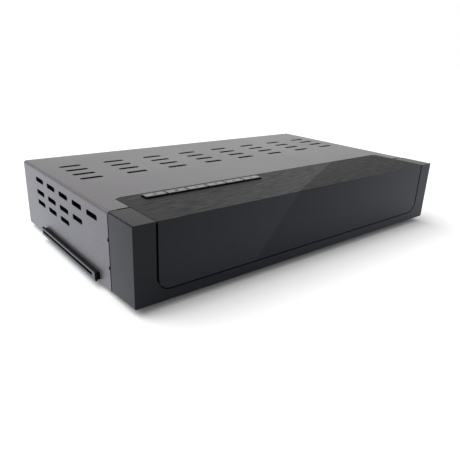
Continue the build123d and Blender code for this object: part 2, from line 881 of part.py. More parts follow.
with BuildPart() as infrared_eye:
    with BuildSketch(upright(display_board_y)):
        with Locations((across(eye_centre_x), up(display_centre_z))):
            Rectangle(2 * eye_radius, 2 * eye_radius)
    extrude(amount=eye_depth)
    with Locations((across(eye_centre_x), display_board_y - eye_depth, up(display_centre_z))):
        Sphere(eye_radius - display_clearance)
keep(infrared_eye, "infrared_eye")

with BuildPart() as standby_lamp:
    with BuildSketch(upright(display_board_y)):
        with Locations((across(lamp_centre_x), up(display_centre_z))):
            Circle(lamp_radius)
    extrude(amount=display_board_y - backing_y - display_clearance)
    fillet(standby_lamp.edges().group_by(Axis.Y)[0], lamp_radius * 0.8)
keep(standby_lamp, "standby_lamp")

# ---- main board ----
with BuildPart() as main_board:
    with BuildSketch(Plane.XY.offset(board_z)):
        main_left_x = across(main_board_left)
        main_front_y = back(main_board_front)
        with Locations(((main_left_x + main_right_x) / 2, (main_front_y + board_rear_y) / 2)):
            Rectangle(main_right_x - main_left_x, board_rear_y - main_front_y)
        with Locations(*main_holes):
            Circle(board_screw_radius + thread_clearance, mode=Mode.SUBTRACT)
    extrude(amount=board_thickness)
keep(main_board, "main_board")

with BuildPart() as main_chips:
    for x, y, width, depth in chips:
        block(
            around(across(x), width),
            around(back(y), depth),
            (board_top_z, board_top_z + chip_height),
        )
keep(main_chips, "main_chips")

with BuildPart() as heat_sink:
    with BuildSketch(Plane.XZ.offset(-(back(heat_sink_y) - heat_sink_size / 2))):
        with Locations((across(heat_sink_x), board_top_z + chip_height + heat_sink_base / 2)):
            Rectangle(heat_sink_size, heat_sink_base)
        fin_z = board_top_z + chip_height + (heat_sink_base + heat_sink_height) / 2
        with Locations((across(heat_sink_x), fin_z)):
            with GridLocations((heat_sink_size - fin_thickness) / (fin_count - 1), 0, fin_count, 1):
                Rectangle(fin_thickness, heat_sink_height - heat_sink_base)
    extrude(amount=-heat_sink_size)
keep(heat_sink, "heat_sink")

with BuildPart() as board_capacitors:
    with BuildSketch(Plane.XY.offset(board_top_z)):
        with Locations(*((across(x), back(y)) for x, y in signal_capacitors)):
            Circle(signal_capacitor_radius)
    extrude(amount=signal_capacitor_height)
    fillet(board_capacitors.edges().group_by(Axis.Z)[-1], capacitor_edge)
    with BuildSketch(Plane.XY.offset(board_top_z)):
        with Locations(*((main_right_x - x, back(y)) for x, y in power_capacitors)):
            Circle(power_capacitor_radius)
    extrude(amount=power_capacitor_height)
    fillet(board_capacitors.edges().group_by(Axis.Z)[-1], capacitor_edge)
keep(board_capacitors, "board_capacitors")

# ---- tuner can and its two aerial connectors ----
tuner_x = sum(aerial_xs) / 2
with BuildPart() as tuner_can:
    block(
        around(tuner_x, tuner_width),
        (board_rear_y - tuner_depth, board_rear_y),
        (board_top_z, board_top_z + tuner_height),
    )
    # pressed lid, set in from the wall
    lid = tuner_can.faces().sort_by(Axis.Z)[-1]
    with BuildSketch(Plane.XY.offset(board_top_z + tuner_height)):
        with Locations((tuner_x, lid.center().Y)):
            Rectangle(tuner_width - 2 * tuner_lid_inset, tuner_depth - 2 * tuner_lid_inset)
    extrude(amount=tuner_lid_height)
    fillet(tuner_can.edges().filter_by(Axis.Z), tuner_lid_height)
keep(tuner_can, "tuner_can")

aerial_end_y = rear_y + connector_reach
aerial_thread_y = panel_y + aerial_nut_thickness
for label, x in zip(("lnb_input", "loop_output"), aerial_xs):
    with BuildPart() as connector:
        with BuildSketch(upright(board_rear_y)):
            with Locations((x, aerial_z)):
                Circle(aerial_neck)
        extrude(amount=-(aerial_thread_y - board_rear_y))
        with BuildSketch(upright(aerial_thread_y)):
            with Locations((x, aerial_z)):
                Circle(aerial_radius)
        extrude(amount=-(aerial_end_y - aerial_thread_y))
        with BuildSketch(upright(aerial_end_y)):
            with Locations((x, aerial_z)):
                Circle(aerial_bore)
        extrude(amount=aerial_end_y - board_rear_y - aerial_wall, mode=Mode.SUBTRACT)
    keep(connector, label)

with BuildPart() as aerial_insulators:
    with BuildSketch(upright(board_rear_y + aerial_wall)):
        with Locations(*((x, aerial_z) for x in aerial_xs)):
            Circle(aerial_bore)
            Circle(centre_hole, mode=Mode.SUBTRACT)
    extrude(amount=-(aerial_end_y - aerial_recess - board_rear_y - aerial_wall))
keep(aerial_insulators, "aerial_insulators")

with BuildPart() as aerial_nuts:
    with BuildSketch(upright(panel_y)):
        with Locations(*((x, aerial_z) for x in aerial_xs)):
            RegularPolygon(aerial_nut / 2, 6, major_radius=False)
            Circle(aerial_neck + thread_clearance, mode=Mode.SUBTRACT)
    extrude(amount=-aerial_nut_thickness)
keep(aerial_nuts, "aerial_nuts")

# ---- network, USB and HDMI sockets ----
port_face_y = panel_y + port_proud


def socket_body(x, z, width, height, depth):
    """The shell of a socket that stands at a height, its face just outside the rear panel."""
    block(around(x, width), (port_face_y - depth, port_face_y), (z, z + height))


with BuildPart() as network_socket:
    socket_body(across(stack_x), network_z, network_width, network_height, network_depth)
    port_z = network_z + network_height / 2
    with BuildSketch(upright(port_face_y)):
        with Locations((across(stack_x), port_z)):
            Rectangle(network_port_width, network_port_height)
        with Locations((across(stack_x), port_z - (network_port_height + latch_height) / 2)):
            Rectangle(latch_width, latch_height)
    extrude(amount=network_port_depth, mode=Mode.SUBTRACT)
keep(network_socket, "network_socket")

with BuildPart() as usb_socket:
    socket_body(across(stack_x), board_top_z, usb_width, usb_height, usb_depth)
    port_z = board_top_z + usb_height / 2
    with BuildSketch(upright(port_face_y)):
        with Locations((across(stack_x), port_z)):
            Rectangle(usb_port_width, usb_port_height)
        with Locations((across(stack_x), port_z + (usb_port_height - usb_tongue_thickness) / 4)):
            Rectangle(usb_tongue_width, usb_tongue_thickness, mode=Mode.SUBTRACT)
    extrude(amount=usb_port_depth, mode=Mode.SUBTRACT)
keep(usb_socket, "usb_socket")

with BuildPart() as hdmi_socket:
    socket_body(across(hdmi_x), board_top_z, hdmi_width, hdmi_height, hdmi_depth)
    port_z = board_top_z + hdmi_height / 2
    with BuildSketch(upright(port_face_y)):
        with Locations((across(hdmi_x), port_z)):
            mouth = Rectangle(hdmi_port_width, hdmi_port_height)
        chamfer(mouth.vertices().group_by(Axis.Y)[0], hdmi_chamfer)
        with Locations((across(hdmi_x), port_z)):
            Rectangle(hdmi_tongue_width, hdmi_tongue_thickness, mode=Mode.SUBTRACT)
    extrude(amount=hdmi_port_depth, mode=Mode.SUBTRACT)
keep(hdmi_socket, "hdmi_socket")

# ---- RCA housing with four barrels ----
with BuildPart() as rca_housing:
    block(
        around(across(rca_x), rca_housing_width),
        (panel_inner_y - rca_housing_depth, panel_inner_y),
        (board_top_z, rca_upper_z + rca_radius + rca_housing_wall),
    )
    with BuildSketch(upright(panel_inner_y)):
        with Locations(*rca_places):
            Circle(rca_radius - rca_wall)
    extrude(amount=-rca_insert_length)
    with BuildSketch(upright(panel_inner_y + rca_insert_length)):
        with Locations(*rca_places):
            Circle(rca_bore)
    extrude(amount=rca_insert_length, mode=Mode.SUBTRACT)
keep(rca_housing, "rca_housing")

with BuildPart() as rca_barrels:
    with BuildSketch(upright(panel_y)):
        with Locations(*rca_places):
            Circle(rca_radius)
            Circle(rca_radius - rca_wall, mode=Mode.SUBTRACT)
    extrude(amount=-rca_length)
keep(rca_barrels, "rca_barrels")

# ---- SCART socket: a slanted shell round a core with contact slots ----
with BuildPart() as scart_socket:
    scart_z = board_top_z + scart_height / 2
    with BuildSketch(upright(port_face_y)):
        with Locations((scart_x, scart_z)):
            Rectangle(scart_width, scart_height)
    extrude(amount=scart_depth)
    with BuildSketch(upright(port_face_y)):
        with Locations((scart_x, scart_z)):
            well = Rectangle(scart_width - 2 * scart_rim, scart_height - 2 * scart_rim)
        slanted = well.vertices().group_by(Axis.X)[0].sort_by(Axis.Y)[-1]
        chamfer(slanted, scart_slant)
        with Locations((scart_x, scart_z)):
            Rectangle(scart_core_width, scart_core_height, mode=Mode.SUBTRACT)
            with GridLocations(scart_contact_pitch, 0, scart_contacts, 1):
                Rectangle(scart_contact_width, scart_core_height / 2)
    extrude(amount=scart_well, mode=Mode.SUBTRACT)
keep(scart_socket, "scart_socket")

# ---- smart card reader under the main board, and the frame round its slot ----
slot_mid_y = back((slot_front + slot_rear) / 2)
slot_mid_z = up((slot_low + slot_high) / 2)
frame_inner_x = across(slot_frame_inner)
with BuildPart() as card_reader:
    block(
        (frame_inner_x, frame_inner_x + reader_length),
        around(slot_mid_y, reader_width),
        (floor_z, board_z),
    )
    block(
        (frame_inner_x, frame_inner_x + card_travel),
        around(slot_mid_y, card_width),
        around(slot_mid_z, card_gap),
        mode=Mode.SUBTRACT,
    )
keep(card_reader, "card_reader")

with BuildPart() as card_slot_frame:
    plate_x = left_x - slot_frame_proud
    block(
        (plate_x, plate_x + slot_plate),
        (back(slot_frame_front), back(slot_frame_rear)),
        (floor_z, up(slot_frame_high)),
    )
    fillet(card_slot_frame.edges().group_by(Axis.X)[0], slot_frame_edge)
    block(
        (plate_x + slot_plate, frame_inner_x),
        (back(slot_frame_front + slot_neck_inset), back(slot_frame_rear - slot_neck_inset)),
        (floor_z, up(slot_frame_high - slot_neck_drop)),
    )
    # the mouth narrows from the trim's wide slot to the card's own width
    with BuildSketch(Plane.YZ.offset(plate_x)):
        with Locations((slot_mid_y, slot_mid_z)):
            Rectangle(slot_rear - slot_front, slot_high - slot_low)
    with BuildSketch(Plane.YZ.offset(frame_inner_x)):
        with Locations((slot_mid_y, slot_mid_z)):
            Rectangle(card_width, card_gap)
    loft(mode=Mode.SUBTRACT)
keep(card_slot_frame, "card_slot_frame")

# ---- power supply board ----
with BuildPart() as supply_board:
    with BuildSketch(Plane.XY.offset(board_z)):
        supply_front_y = from_rear(supply_board_reach)
        with Locations(((supply_left_x + supply_right_x) / 2, (supply_front_y + board_rear_y) / 2)):
            Rectangle(supply_board_width, board_rear_y - supply_front_y)
        with Locations(*supply_holes):
            Circle(board_screw_radius + thread_clearance, mode=Mode.SUBTRACT)
    extrude(amount=board_thickness)
keep(supply_board, "supply_board")

with BuildPart() as transformer:
    centre_x, centre_y = from_right(transformer_x), from_rear(transformer_y)
    block(
        around(centre_x, core_width),
        around(centre_y, core_depth),
        (board_top_z + bobbin_foot, board_top_z + bobbin_foot + core_height),
    )
    block(
        around(centre_x, winding_width),
        around(centre_y, winding_depth),
        (board_top_z, board_top_z + bobbin_foot + core_height - core_leg),
    )
keep(transformer, "transformer")

with BuildPart() as bulk_capacitor:
    with Locations((from_right(bulk_x), from_rear(bulk_y), board_top_z)):
        Cylinder(bulk_radius, bulk_height, align=(Align.CENTER, Align.CENTER, Align.MIN))
    fillet(bulk_capacitor.edges().group_by(Axis.Z)[-1], capacitor_edge)
keep(bulk_capacitor, "bulk_capacitor")

with BuildPart() as output_capacitors:
    with BuildSketch(Plane.XY.offset(board_top_z)):
        with Locations((from_right(output_x), from_rear(output_y))):
            with GridLocations(output_pitch, 0, output_count, 1):
                Circle(output_radius)
    extrude(amount=output_height)
    fillet(output_capacitors.edges().group_by(Axis.Z)[-1], capacitor_edge)
keep(output_capacitors, "output_capacitors")

with BuildPart() as supply_heat_sink:
    with BuildSketch(Plane.XY.offset(board_top_z)):
        with Locations((from_right(sink_x), from_rear(sink_y))):
            Rectangle(fin_thickness, sink_length)
            with GridLocations(0, (sink_length - fin_thickness) / (sink_fins - 1), 1, sink_fins):
                Rectangle(sink_fin_reach, fin_thickness, align=(Align.MIN, Align.CENTER))
    extrude(amount=sink_height)
keep(supply_heat_sink, "supply_heat_sink")

with BuildPart() as switching_transistor:
    sink_face_x = from_right(sink_x) - fin_thickness / 2
    block(
        (sink_face_x - transistor_thickness, sink_face_x),
        around(from_rear(sink_y), transistor_width),
        (board_top_z, board_top_z + transistor_height),
    )
keep(switching_transistor, "switching_transistor")

with BuildPart() as line_filter:
    centre_x, centre_y = from_right(filter_x), from_rear(filter_y)
    block(
        around(centre_x, filter_core_width),
        around(centre_y, filter_core_depth),
        (board_top_z, board_top_z + filter_height),
    )
    with BuildSketch(Plane.YZ.offset(centre_x)):
        with Locations((centre_y, board_top_z + filter_height / 2)):
            Circle(filter_winding_radius)
    extrude(amount=filter_winding_length / 2, both=True)
keep(line_filter, "line_filter")

with BuildPart() as mains_fuse:
    fuse_centre_x = from_right(fuse_x)
    fuse_z = board_top_z + fuse_clip_height
    with BuildSketch(upright(from_rear(fuse_y))):
        with Locations((fuse_centre_x, fuse_z)):
            Circle(fuse_radius)
    extrude(amount=fuse_length / 2, both=True)
    for side in (-1, 1):
        block(
            around(fuse_centre_x, 2 * fuse_radius + sheet),
            around(from_rear(fuse_y) + side * (fuse_length - fuse_clip_length) / 2, fuse_clip_length),
            (board_top_z, fuse_z),
        )
keep(mains_fuse, "mains_fuse")

# ---- mains inlet ----
inlet_face_y = panel_y + inlet_flange
with BuildPart() as mains_inlet:
    with BuildSketch(upright(panel_y)):
        with Locations((inlet_x, mains_z)):
            Rectangle(inlet_width + 2 * inlet_flange_rim, inlet_height + 2 * inlet_flange_rim)
    extrude(amount=-inlet_flange)
    with BuildSketch(upright(panel_y)):
        with Locations((inlet_x, mains_z)):
            Rectangle(inlet_width, inlet_height)
    extrude(amount=inlet_depth)
    with BuildSketch(upright(inlet_face_y)):
        with Locations((inlet_x, mains_z)):
            SlotCenterToCenter(inlet_pin_pitch, 2 * inlet_lobe_radius)
    extrude(amount=inlet_well, mode=Mode.SUBTRACT)
    with BuildSketch(upright(inlet_face_y - inlet_well)):
        with Locations((inlet_x, mains_z)):
            with GridLocations(inlet_pin_pitch, 0, 2, 1):
                Circle(inlet_pin_radius)
    extrude(amount=-inlet_pin_length)
keep(mains_inlet, "mains_inlet")

# ---- rear rocker switch ----
pivot_y = panel_y + rocker_pivot_out
rocker_well_half = rocker_radius + rocker_gap
with BuildPart() as power_switch:
    with BuildSketch(upright(panel_y)):
        with Locations((switch_x, mains_z)):
            Rectangle(switch_flange_width, switch_flange_height)
    extrude(amount=-switch_flange_thickness)
    with BuildSketch(upright(panel_y)):
        with Locations((switch_x, mains_z)):
            Rectangle(switch_case_width, switch_case_height)
    extrude(amount=switch_case_depth)
    block(
        around(switch_x, rocker_width + 2 * rocker_gap),
        (pivot_y - rocker_well_half, panel_y + switch_flange_thickness),
        around(mains_z, 2 * rocker_well_half),
        mode=Mode.SUBTRACT,
    )
    with BuildSketch(Plane.YZ.offset(switch_x)):
        with Locations((pivot_y, mains_z)):
            Circle(pivot_radius + pivot_clearance)
    extrude(
        amount=rocker_width / 2 + pivot_length + pivot_clearance,
        both=True,
        mode=Mode.SUBTRACT,
    )
    with BuildSketch(upright(panel_y - switch_case_depth)):
        with Locations((switch_x, mains_z)):
            with GridLocations(0, switch_case_height / 2, 1, 2):
                Rectangle(terminal_width, terminal_thickness)
    extrude(amount=terminal_length)
keep(power_switch, "power_switch")

# the rocker's level line leans by its tilt, with the lower half pressed in
rocker_plane = Plane(
    origin=(switch_x, pivot_y, mains_z),
    x_dir=(0, cos(radians(rocker_tilt)), -sin(radians(rocker_tilt))),
    z_dir=(1, 0, 0),
)
with BuildPart() as power_rocker:
    with BuildSketch(rocker_plane):
        Circle(rocker_radius)
        with BuildLine():
            slope_rise = rocker_radius * 2 * sin(radians(rocker_slope)) / cos(radians(rocker_slope))
            Polyline(
                (rocker_apex, 0),
                (rocker_apex + slope_rise, rocker_radius * 2),
                (rocker_radius * 2, rocker_radius * 2),
                (rocker_radius * 2, -rocker_radius * 2),
                (rocker_apex + slope_rise, -rocker_radius * 2),
                close=True,
            )
        make_face(mode=Mode.SUBTRACT)
        with Locations((-rocker_root - rocker_radius, 0)):
            Rectangle(2 * rocker_radius, 2 * rocker_radius, mode=Mode.SUBTRACT)
    extrude(amount=rocker_width / 2, both=True)
    with BuildSketch(rocker_plane):
        Circle(pivot_radius)
    extrude(amount=rocker_width / 2 + pivot_length, both=True)
keep(power_rocker, "power_rocker")

# ---- leads inside the case ----
ribbon_start = (display_board_y + board_thickness + header_height, up(ribbon_height))
ribbon_end = (back(ribbon_header_y), board_top_z + header_height)
with BuildPart() as ribbon_cable:
    with BuildSketch(Plane.YZ.offset(across(ribbon_x))):
        with BuildLine():
            FilletPolyline(
                ribbon_start,
                (ribbon_start[0] + ribbon_bow, ribbon_start[1]),
                (ribbon_start[0] + ribbon_bow, ribbon_end[1] + ribbon_rise),
                (ribbon_end[0], ribbon_end[1] + ribbon_rise),
                ribbon_end,
                radius=ribbon_bend,
            )
        trace(line_width=ribbon_thickness)
    extrude(amount=ribbon_width / 2, both=True)
keep(ribbon_cable, "ribbon_cable")

lead_left = main_right_x - hole_inset
lead_right = supply_left_x + hole_inset
with BuildPart() as dc_lead:
    with BuildSketch(upright(from_rear(lead_y))):
        with BuildLine():
            FilletPolyline(
                (lead_left, ribbon_end[1]),
                (lead_left, ribbon_end[1] + ribbon_rise),
                (lead_right, ribbon_end[1] + ribbon_rise),
                (lead_right, ribbon_end[1]),
                radius=ribbon_bend,
            )
        trace(line_width=ribbon_thickness)
    extrude(amount=lead_width / 2, both=True)
keep(dc_lead, "dc_lead")

with BuildPart() as lead_headers:
    block(
        around(across(ribbon_x), ribbon_width + header_rim),
        (display_board_y + board_thickness, ribbon_start[0]),
        around(ribbon_start[1], header_depth),
    )
    block(
        around(across(ribbon_x), ribbon_width + header_rim),
        around(ribbon_end[0], header_depth),
        (board_top_z, ribbon_end[1]),
    )
    for x in (lead_left, lead_right):
        block(
            around(x, header_depth),
            around(from_rear(lead_y), lead_width + header_rim),
            (board_top_z, ribbon_end[1]),
        )
keep(lead_headers, "lead_headers")

# two wires drop from the back of the inlet to the supply board
wire_start_y = panel_y - inlet_depth
with BuildPart() as mains_wires:
    for x in (inlet_x - inlet_pin_pitch / 2, inlet_x + inlet_pin_pitch / 2):
        with BuildLine():
            route = FilletPolyline(
                (x, wire_start_y, mains_z),
                (x, wire_start_y - wire_reach, mains_z),
                (x, wire_start_y - wire_reach, board_top_z),
                radius=wire_bend,
            )
        with BuildSketch(Plane(origin=(x, wire_start_y, mains_z), z_dir=(0, -1, 0))):
            Circle(wire_radius)
        sweep(path=route)
keep(mains_wires, "mains_wires")

# ---- screws ----
with BuildPart() as cover_screws:
    with BuildSketch(upright(rear_y)):
        with Locations(*((x, screw_z) for x in screw_xs)):
            Circle(screw_head_radius)
    extrude(amount=-screw_head_height)
    fillet(cover_screws.edges().group_by(Axis.Y)[-1], screw_head_height / 2)
    with BuildSketch(upright(rear_y)):
        with Locations(*((x, screw_z) for x in screw_xs)):
            Circle(cover_screw_radius)
    extrude(amount=cover_screw_length)
keep(cover_screws, "cover_screws")

with BuildPart() as board_screws:
    with BuildSketch(Plane.XY.offset(board_top_z)):
        with Locations(*main_holes, *supply_holes):
            Circle(board_screw_head)
    extrude(amount=screw_head_height)
    with BuildSketch(Plane.XY.offset(board_top_z)):
        with Locations(*main_holes, *supply_holes):
            Circle(board_screw_radius)
    extrude(amount=-board_screw_length)
keep(board_screws, "board_screws")

with BuildPart() as front_screws:
    with BuildSketch(Plane.XY.offset(key_board_top_z - board_thickness)):
        with Locations(*((x, key_y) for x in key_post_xs)):
            Circle(board_screw_head)
    extrude(amount=-screw_head_height)
    with BuildSketch(Plane.XY.offset(key_board_top_z - board_thickness)):
        with Locations(*((x, key_y) for x in key_post_xs)):
            Circle(board_screw_radius)
    extrude(amount=board_screw_length)
    with BuildSketch(upright(display_board_y + board_thickness)):
        with Locations(*((x, display_post_z) for x in display_post_xs)):
            Circle(board_screw_head)
    extrude(amount=-screw_head_height)
    with BuildSketch(upright(display_board_y + board_thickness)):
        with Locations(*((x, display_post_z) for x in display_post_xs)):
            Circle(board_screw_radius)
    extrude(amount=board_screw_length)
keep(front_screws, "front_screws")
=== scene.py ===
"""Satellite tv receiver: the finishes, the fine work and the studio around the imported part.

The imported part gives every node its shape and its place. This file gives each node the finish of
its real material, adds the small worked pieces, and sets the camera, the lamp and the floor.
Sizes of finishes and pieces are in millimetres in the part's own frame. Those of the studio are
in metres, unless a name ends in _mm.
"""

import logging
import math
from dataclasses import dataclass, field
from enum import Enum
from typing import Any, Callable, ClassVar, NamedTuple

import bmesh
import bpy
from mathutils import Matrix, Vector

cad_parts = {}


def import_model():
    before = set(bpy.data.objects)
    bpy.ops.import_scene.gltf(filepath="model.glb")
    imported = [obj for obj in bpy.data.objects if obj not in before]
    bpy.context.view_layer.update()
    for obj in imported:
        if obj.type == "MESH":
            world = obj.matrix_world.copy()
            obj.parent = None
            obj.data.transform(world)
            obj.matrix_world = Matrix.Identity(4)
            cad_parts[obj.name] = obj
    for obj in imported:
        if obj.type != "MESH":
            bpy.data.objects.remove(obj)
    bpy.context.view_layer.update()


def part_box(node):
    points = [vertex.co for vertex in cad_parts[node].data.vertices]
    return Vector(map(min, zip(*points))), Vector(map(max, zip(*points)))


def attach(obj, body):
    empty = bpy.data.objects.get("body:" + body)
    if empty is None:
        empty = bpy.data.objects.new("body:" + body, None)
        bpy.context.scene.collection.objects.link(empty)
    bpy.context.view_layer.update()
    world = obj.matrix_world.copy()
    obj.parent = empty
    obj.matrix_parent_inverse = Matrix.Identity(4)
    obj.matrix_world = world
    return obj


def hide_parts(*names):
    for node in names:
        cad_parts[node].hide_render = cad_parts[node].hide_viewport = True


log = logging.getLogger("receiver")
MM = 0.001
WAVE_RADIANS = 20.0  # phase that a wave texture passes through in one unit of its scale
NEAR = 0.01  # millimetres within which a point counts as lying at a level
FACING = 0.9  # least share of a normal along an axis for a face to look that way
LONG = 1.0  # millimetres over which an edge counts as running along its piece
MARK_SPAN = (0.3, 0.7)  # strengths between which nearly all random marks lie
WHITE = (1.0, 1.0, 1.0, 1.0)


class MixSockets(NamedTuple):
    """Numbers of a Mix node's two inputs and its result, which depend on what it blends."""

    first: int
    second: int
    result: int


COLOUR_MIX = MixSockets(6, 7, 2)
LEVEL_MIX = MixSockets(2, 3, 0)


def hex_to_linear(code: str) -> tuple[float, float, float, float]:
    """Turn an sRGB hex colour into linear values.

    Args:
        code: Six hex digits with a leading #.

    Returns:
        Red, green, blue and an alpha of one.
    """
    parts = [int(code[i : i + 2], 16) / 255 for i in (1, 3, 5)]
    linear = [p / 12.92 if p <= 0.04045 else ((p + 0.055) / 1.055) ** 2.4 for p in parts]
    return (linear[0], linear[1], linear[2], 1.0)


def add_node(
    tree: bpy.types.NodeTree,
    kind: str,
    settings: dict[str, Any] | None = None,
    values: dict[str | int, Any] | None = None,
    links: dict[str | int, bpy.types.NodeSocket] | None = None,
) -> bpy.types.Node:
    """Add one node with its settings, its plain socket values and its links.

    Args:
        tree: The node tree that gets the node.
        kind: The node's type.
        settings: Properties of the node itself.
        values: Socket values, by socket name or number.
        links: Sockets that feed this node's inputs, by input name or number.

    Returns:
        The new node.
    """
    node = tree.nodes.new(kind)
    for name, value in (settings or {}).items():
        setattr(node, name, value)
    for socket, value in (values or {}).items():
        node.inputs[socket].default_value = value
    for socket, source in (links or {}).items():
        tree.links.new(source, node.inputs[socket])
    return node


def per_mm(size_mm: float) -> float:
    """Texture scale at which one mark of a pattern is so many millimetres wide."""
    return 1000.0 / size_mm


class Run(Enum):
    """Direction in which a worked surface runs."""

    X = 0
    Y = 1
    Z = 2


@dataclass(frozen=True)
class Finish:
    """A real material with the surface that its making gives it.

    The base class carries what every finish has. Each kind of surface adds its own marks.
    """

    name: str
    colour: str
    roughness: float
    metallic: float = 0.0
    ior: float = 1.5
    specular: float = 0.5
    coat: float = 0.0
    coat_roughness: float = 0.1
    made: ClassVar[dict[str, bpy.types.Material]] = {}
    octave_share: ClassVar[float] = 0.55

    def build(self) -> bpy.types.Material:
        """Make the material once and return it.

        Returns:
            The Blender material of this finish.
        """
        if self.name in Finish.made:
            return Finish.made[self.name]
        material = bpy.data.materials.new(self.name)
        Finish.made[self.name] = material
        material.use_nodes = True
        material.diffuse_color = hex_to_linear(self.colour)
        tree = material.node_tree
        tree.nodes.clear()
        values = {
            "Base Color": hex_to_linear(self.colour),
            "Roughness": self.roughness,
            "Metallic": self.metallic,
        }
        if not self.metallic:
            values["IOR"] = self.ior
            values["Specular IOR Level"] = self.specular
        if self.coat:
            values["Coat Weight"] = self.coat
            values["Coat Roughness"] = self.coat_roughness
        shader = add_node(tree, "ShaderNodeBsdfPrincipled", values=values)
        add_node(tree, "ShaderNodeOutputMaterial", links={"Surface": shader.outputs["BSDF"]})
        place = add_node(tree, "ShaderNodeTexCoord").outputs["Object"]
        self.work(tree, shader, place)
        return material

    def work(
        self, tree: bpy.types.NodeTree, shader: bpy.types.Node, place: bpy.types.NodeSocket
    ) -> None:
        """Add the marks of this kind of surface; the base class has none."""

    def marks(
        self,
        tree: bpy.types.NodeTree,
        place: bpy.types.NodeSocket,
        size_mm: tuple[float, float, float],
        detail: float,
    ) -> bpy.types.NodeSocket:
        """Scatter random marks with a real size along each axis.

        Args:
            tree: The material's node tree.
            place: Object coordinates.
            size_mm: Length of one mark along X, Y and Z.
            detail: Finer octaves over the marks.

        Returns:
            Their strength, about a half on average.
        """
        scaled = add_node(
            tree,
            "ShaderNodeMapping",
            values={"Scale": [per_mm(size) for size in size_mm]},
            links={"Vector": place},
        )
        texture = add_node(
            tree,
            "ShaderNodeTexNoise",
            values={"Scale": 1.0, "Detail": detail, "Roughness": self.octave_share},
            links={"Vector": scaled.outputs["Vector"]},
        )
        return texture.outputs["Fac"]

    def tone(
        self,
        tree: bpy.types.NodeTree,
        shader: bpy.types.Node,
        marks: bpy.types.NodeSocket,
        second: str,
        span: tuple[float, float] = MARK_SPAN,
    ) -> None:
        """Carry the colour over to a second one by the strength of some marks.

        Args:
            tree: The material's node tree.
            shader: The material's shader.
            marks: Strength of the marks.
            second: Hex colour of the marks.
            span: Strengths that leave the first colour alone and the second one alone.
        """
        share = add_node(
            tree,
            "ShaderNodeMapRange",
            values={"From Min": span[0], "From Max": span[1]},
            links={"Value": marks},
        )
        colour = add_node(
            tree,
            "ShaderNodeMix",
            settings={"data_type": "RGBA"},
            values={
                COLOUR_MIX.first: hex_to_linear(self.colour),
                COLOUR_MIX.second: hex_to_linear(second),
            },
            links={0: share.outputs["Result"]},
        )
        tree.links.new(colour.outputs[COLOUR_MIX.result], shader.inputs["Base Color"])

    def gloss(
        self,
        tree: bpy.types.NodeTree,
        shader: bpy.types.Node,
        marks: bpy.types.NodeSocket,
        swing: float,
    ) -> None:
        """Let the roughness swing about its own value by the strength of some marks.

        Args:
            tree: The material's node tree.
            shader: The material's shader.
            marks: Strength of the marks.
            swing: How much rougher the marks are; below zero they are smoother.
        """
        level = add_node(
            tree,
            "ShaderNodeMapRange",
            values={
                "From Min": MARK_SPAN[0],
                "From Max": MARK_SPAN[1],
                "To Min": self.roughness - swing,
                "To Max": self.roughness + swing,
            },
            links={"Value": marks},
        )
        tree.links.new(level.outputs["Result"], shader.inputs["Roughness"])

    def relief(
        self,
        tree: bpy.types.NodeTree,
        shader: bpy.types.Node,
        height: bpy.types.NodeSocket,
        depth_mm: float,
    ) -> None:
        """Raise and sink the surface by a height.

        Args:
            tree: The material's node tree.
            shader: The material's shader.
            height: One at the top of the relief, zero at its foot.
            depth_mm: Depth of the relief in millimetres.
        """
        node = add_node(
            tree,
            "ShaderNodeBump",
            values={"Distance": depth_mm * MM, "Strength": 1.0},
            links={"Height": height},
        )
        tree.links.new(node.outputs["Normal"], shader.inputs["Normal"])


@dataclass(frozen=True)
class Grained(Finish):
    """A coat or a moulding with an even fine grain.

    The grain gives a soft broken highlight, a second tone shows in its hollows, and the gloss
    wanders slowly over the piece.
    """

    second: str = "#000000"
    grain_mm: float = 0.5
    grain_depth_mm: float = 0.006
    cloud_mm: float = 45.0
    gloss_swing: float = 0.05

    def work(
        self, tree: bpy.types.NodeTree, shader: bpy.types.Node, place: bpy.types.NodeSocket
    ) -> None:
        """Add the grain, the second tone and the slow change in gloss.

        Args:
            tree: The material's node tree.
            shader: The material's shader.
            place: Object coordinates.
        """
        grain = self.marks(tree, place, (self.grain_mm,) * 3, detail=3.0)
        cloud = self.marks(tree, place, (self.cloud_mm,) * 3, detail=1.0)
        self.tone(tree, shader, grain, self.second)
        self.gloss(tree, shader, cloud, self.gloss_swing)
        self.relief(tree, shader, grain, self.grain_depth_mm)

    def cover(
        self,
        tree: bpy.types.NodeTree,
        shader: bpy.types.Node,
        share: bpy.types.NodeSocket,
        tone: str,
        roughness: float,
    ) -> None:
        """Give part of the surface another tone and gloss.

        Args:
            tree: The material's node tree.
            shader: The material's shader, with its own tone and gloss linked.
            share: One where the other tone shows.
            tone: Hex colour there.
            roughness: Roughness there.
        """
        for socket, kind, mix, other in (
            ("Base Color", "RGBA", COLOUR_MIX, hex_to_linear(tone)),
            ("Roughness", "FLOAT", LEVEL_MIX, roughness),
        ):
            own = shader.inputs[socket].links[0].from_socket
            blend = add_node(
                tree,
                "ShaderNodeMix",
                settings={"data_type": kind},
                values={mix.second: other},
                links={0: share, mix.first: own},
            )
            tree.links.new(blend.outputs[mix.result], shader.inputs[socket])


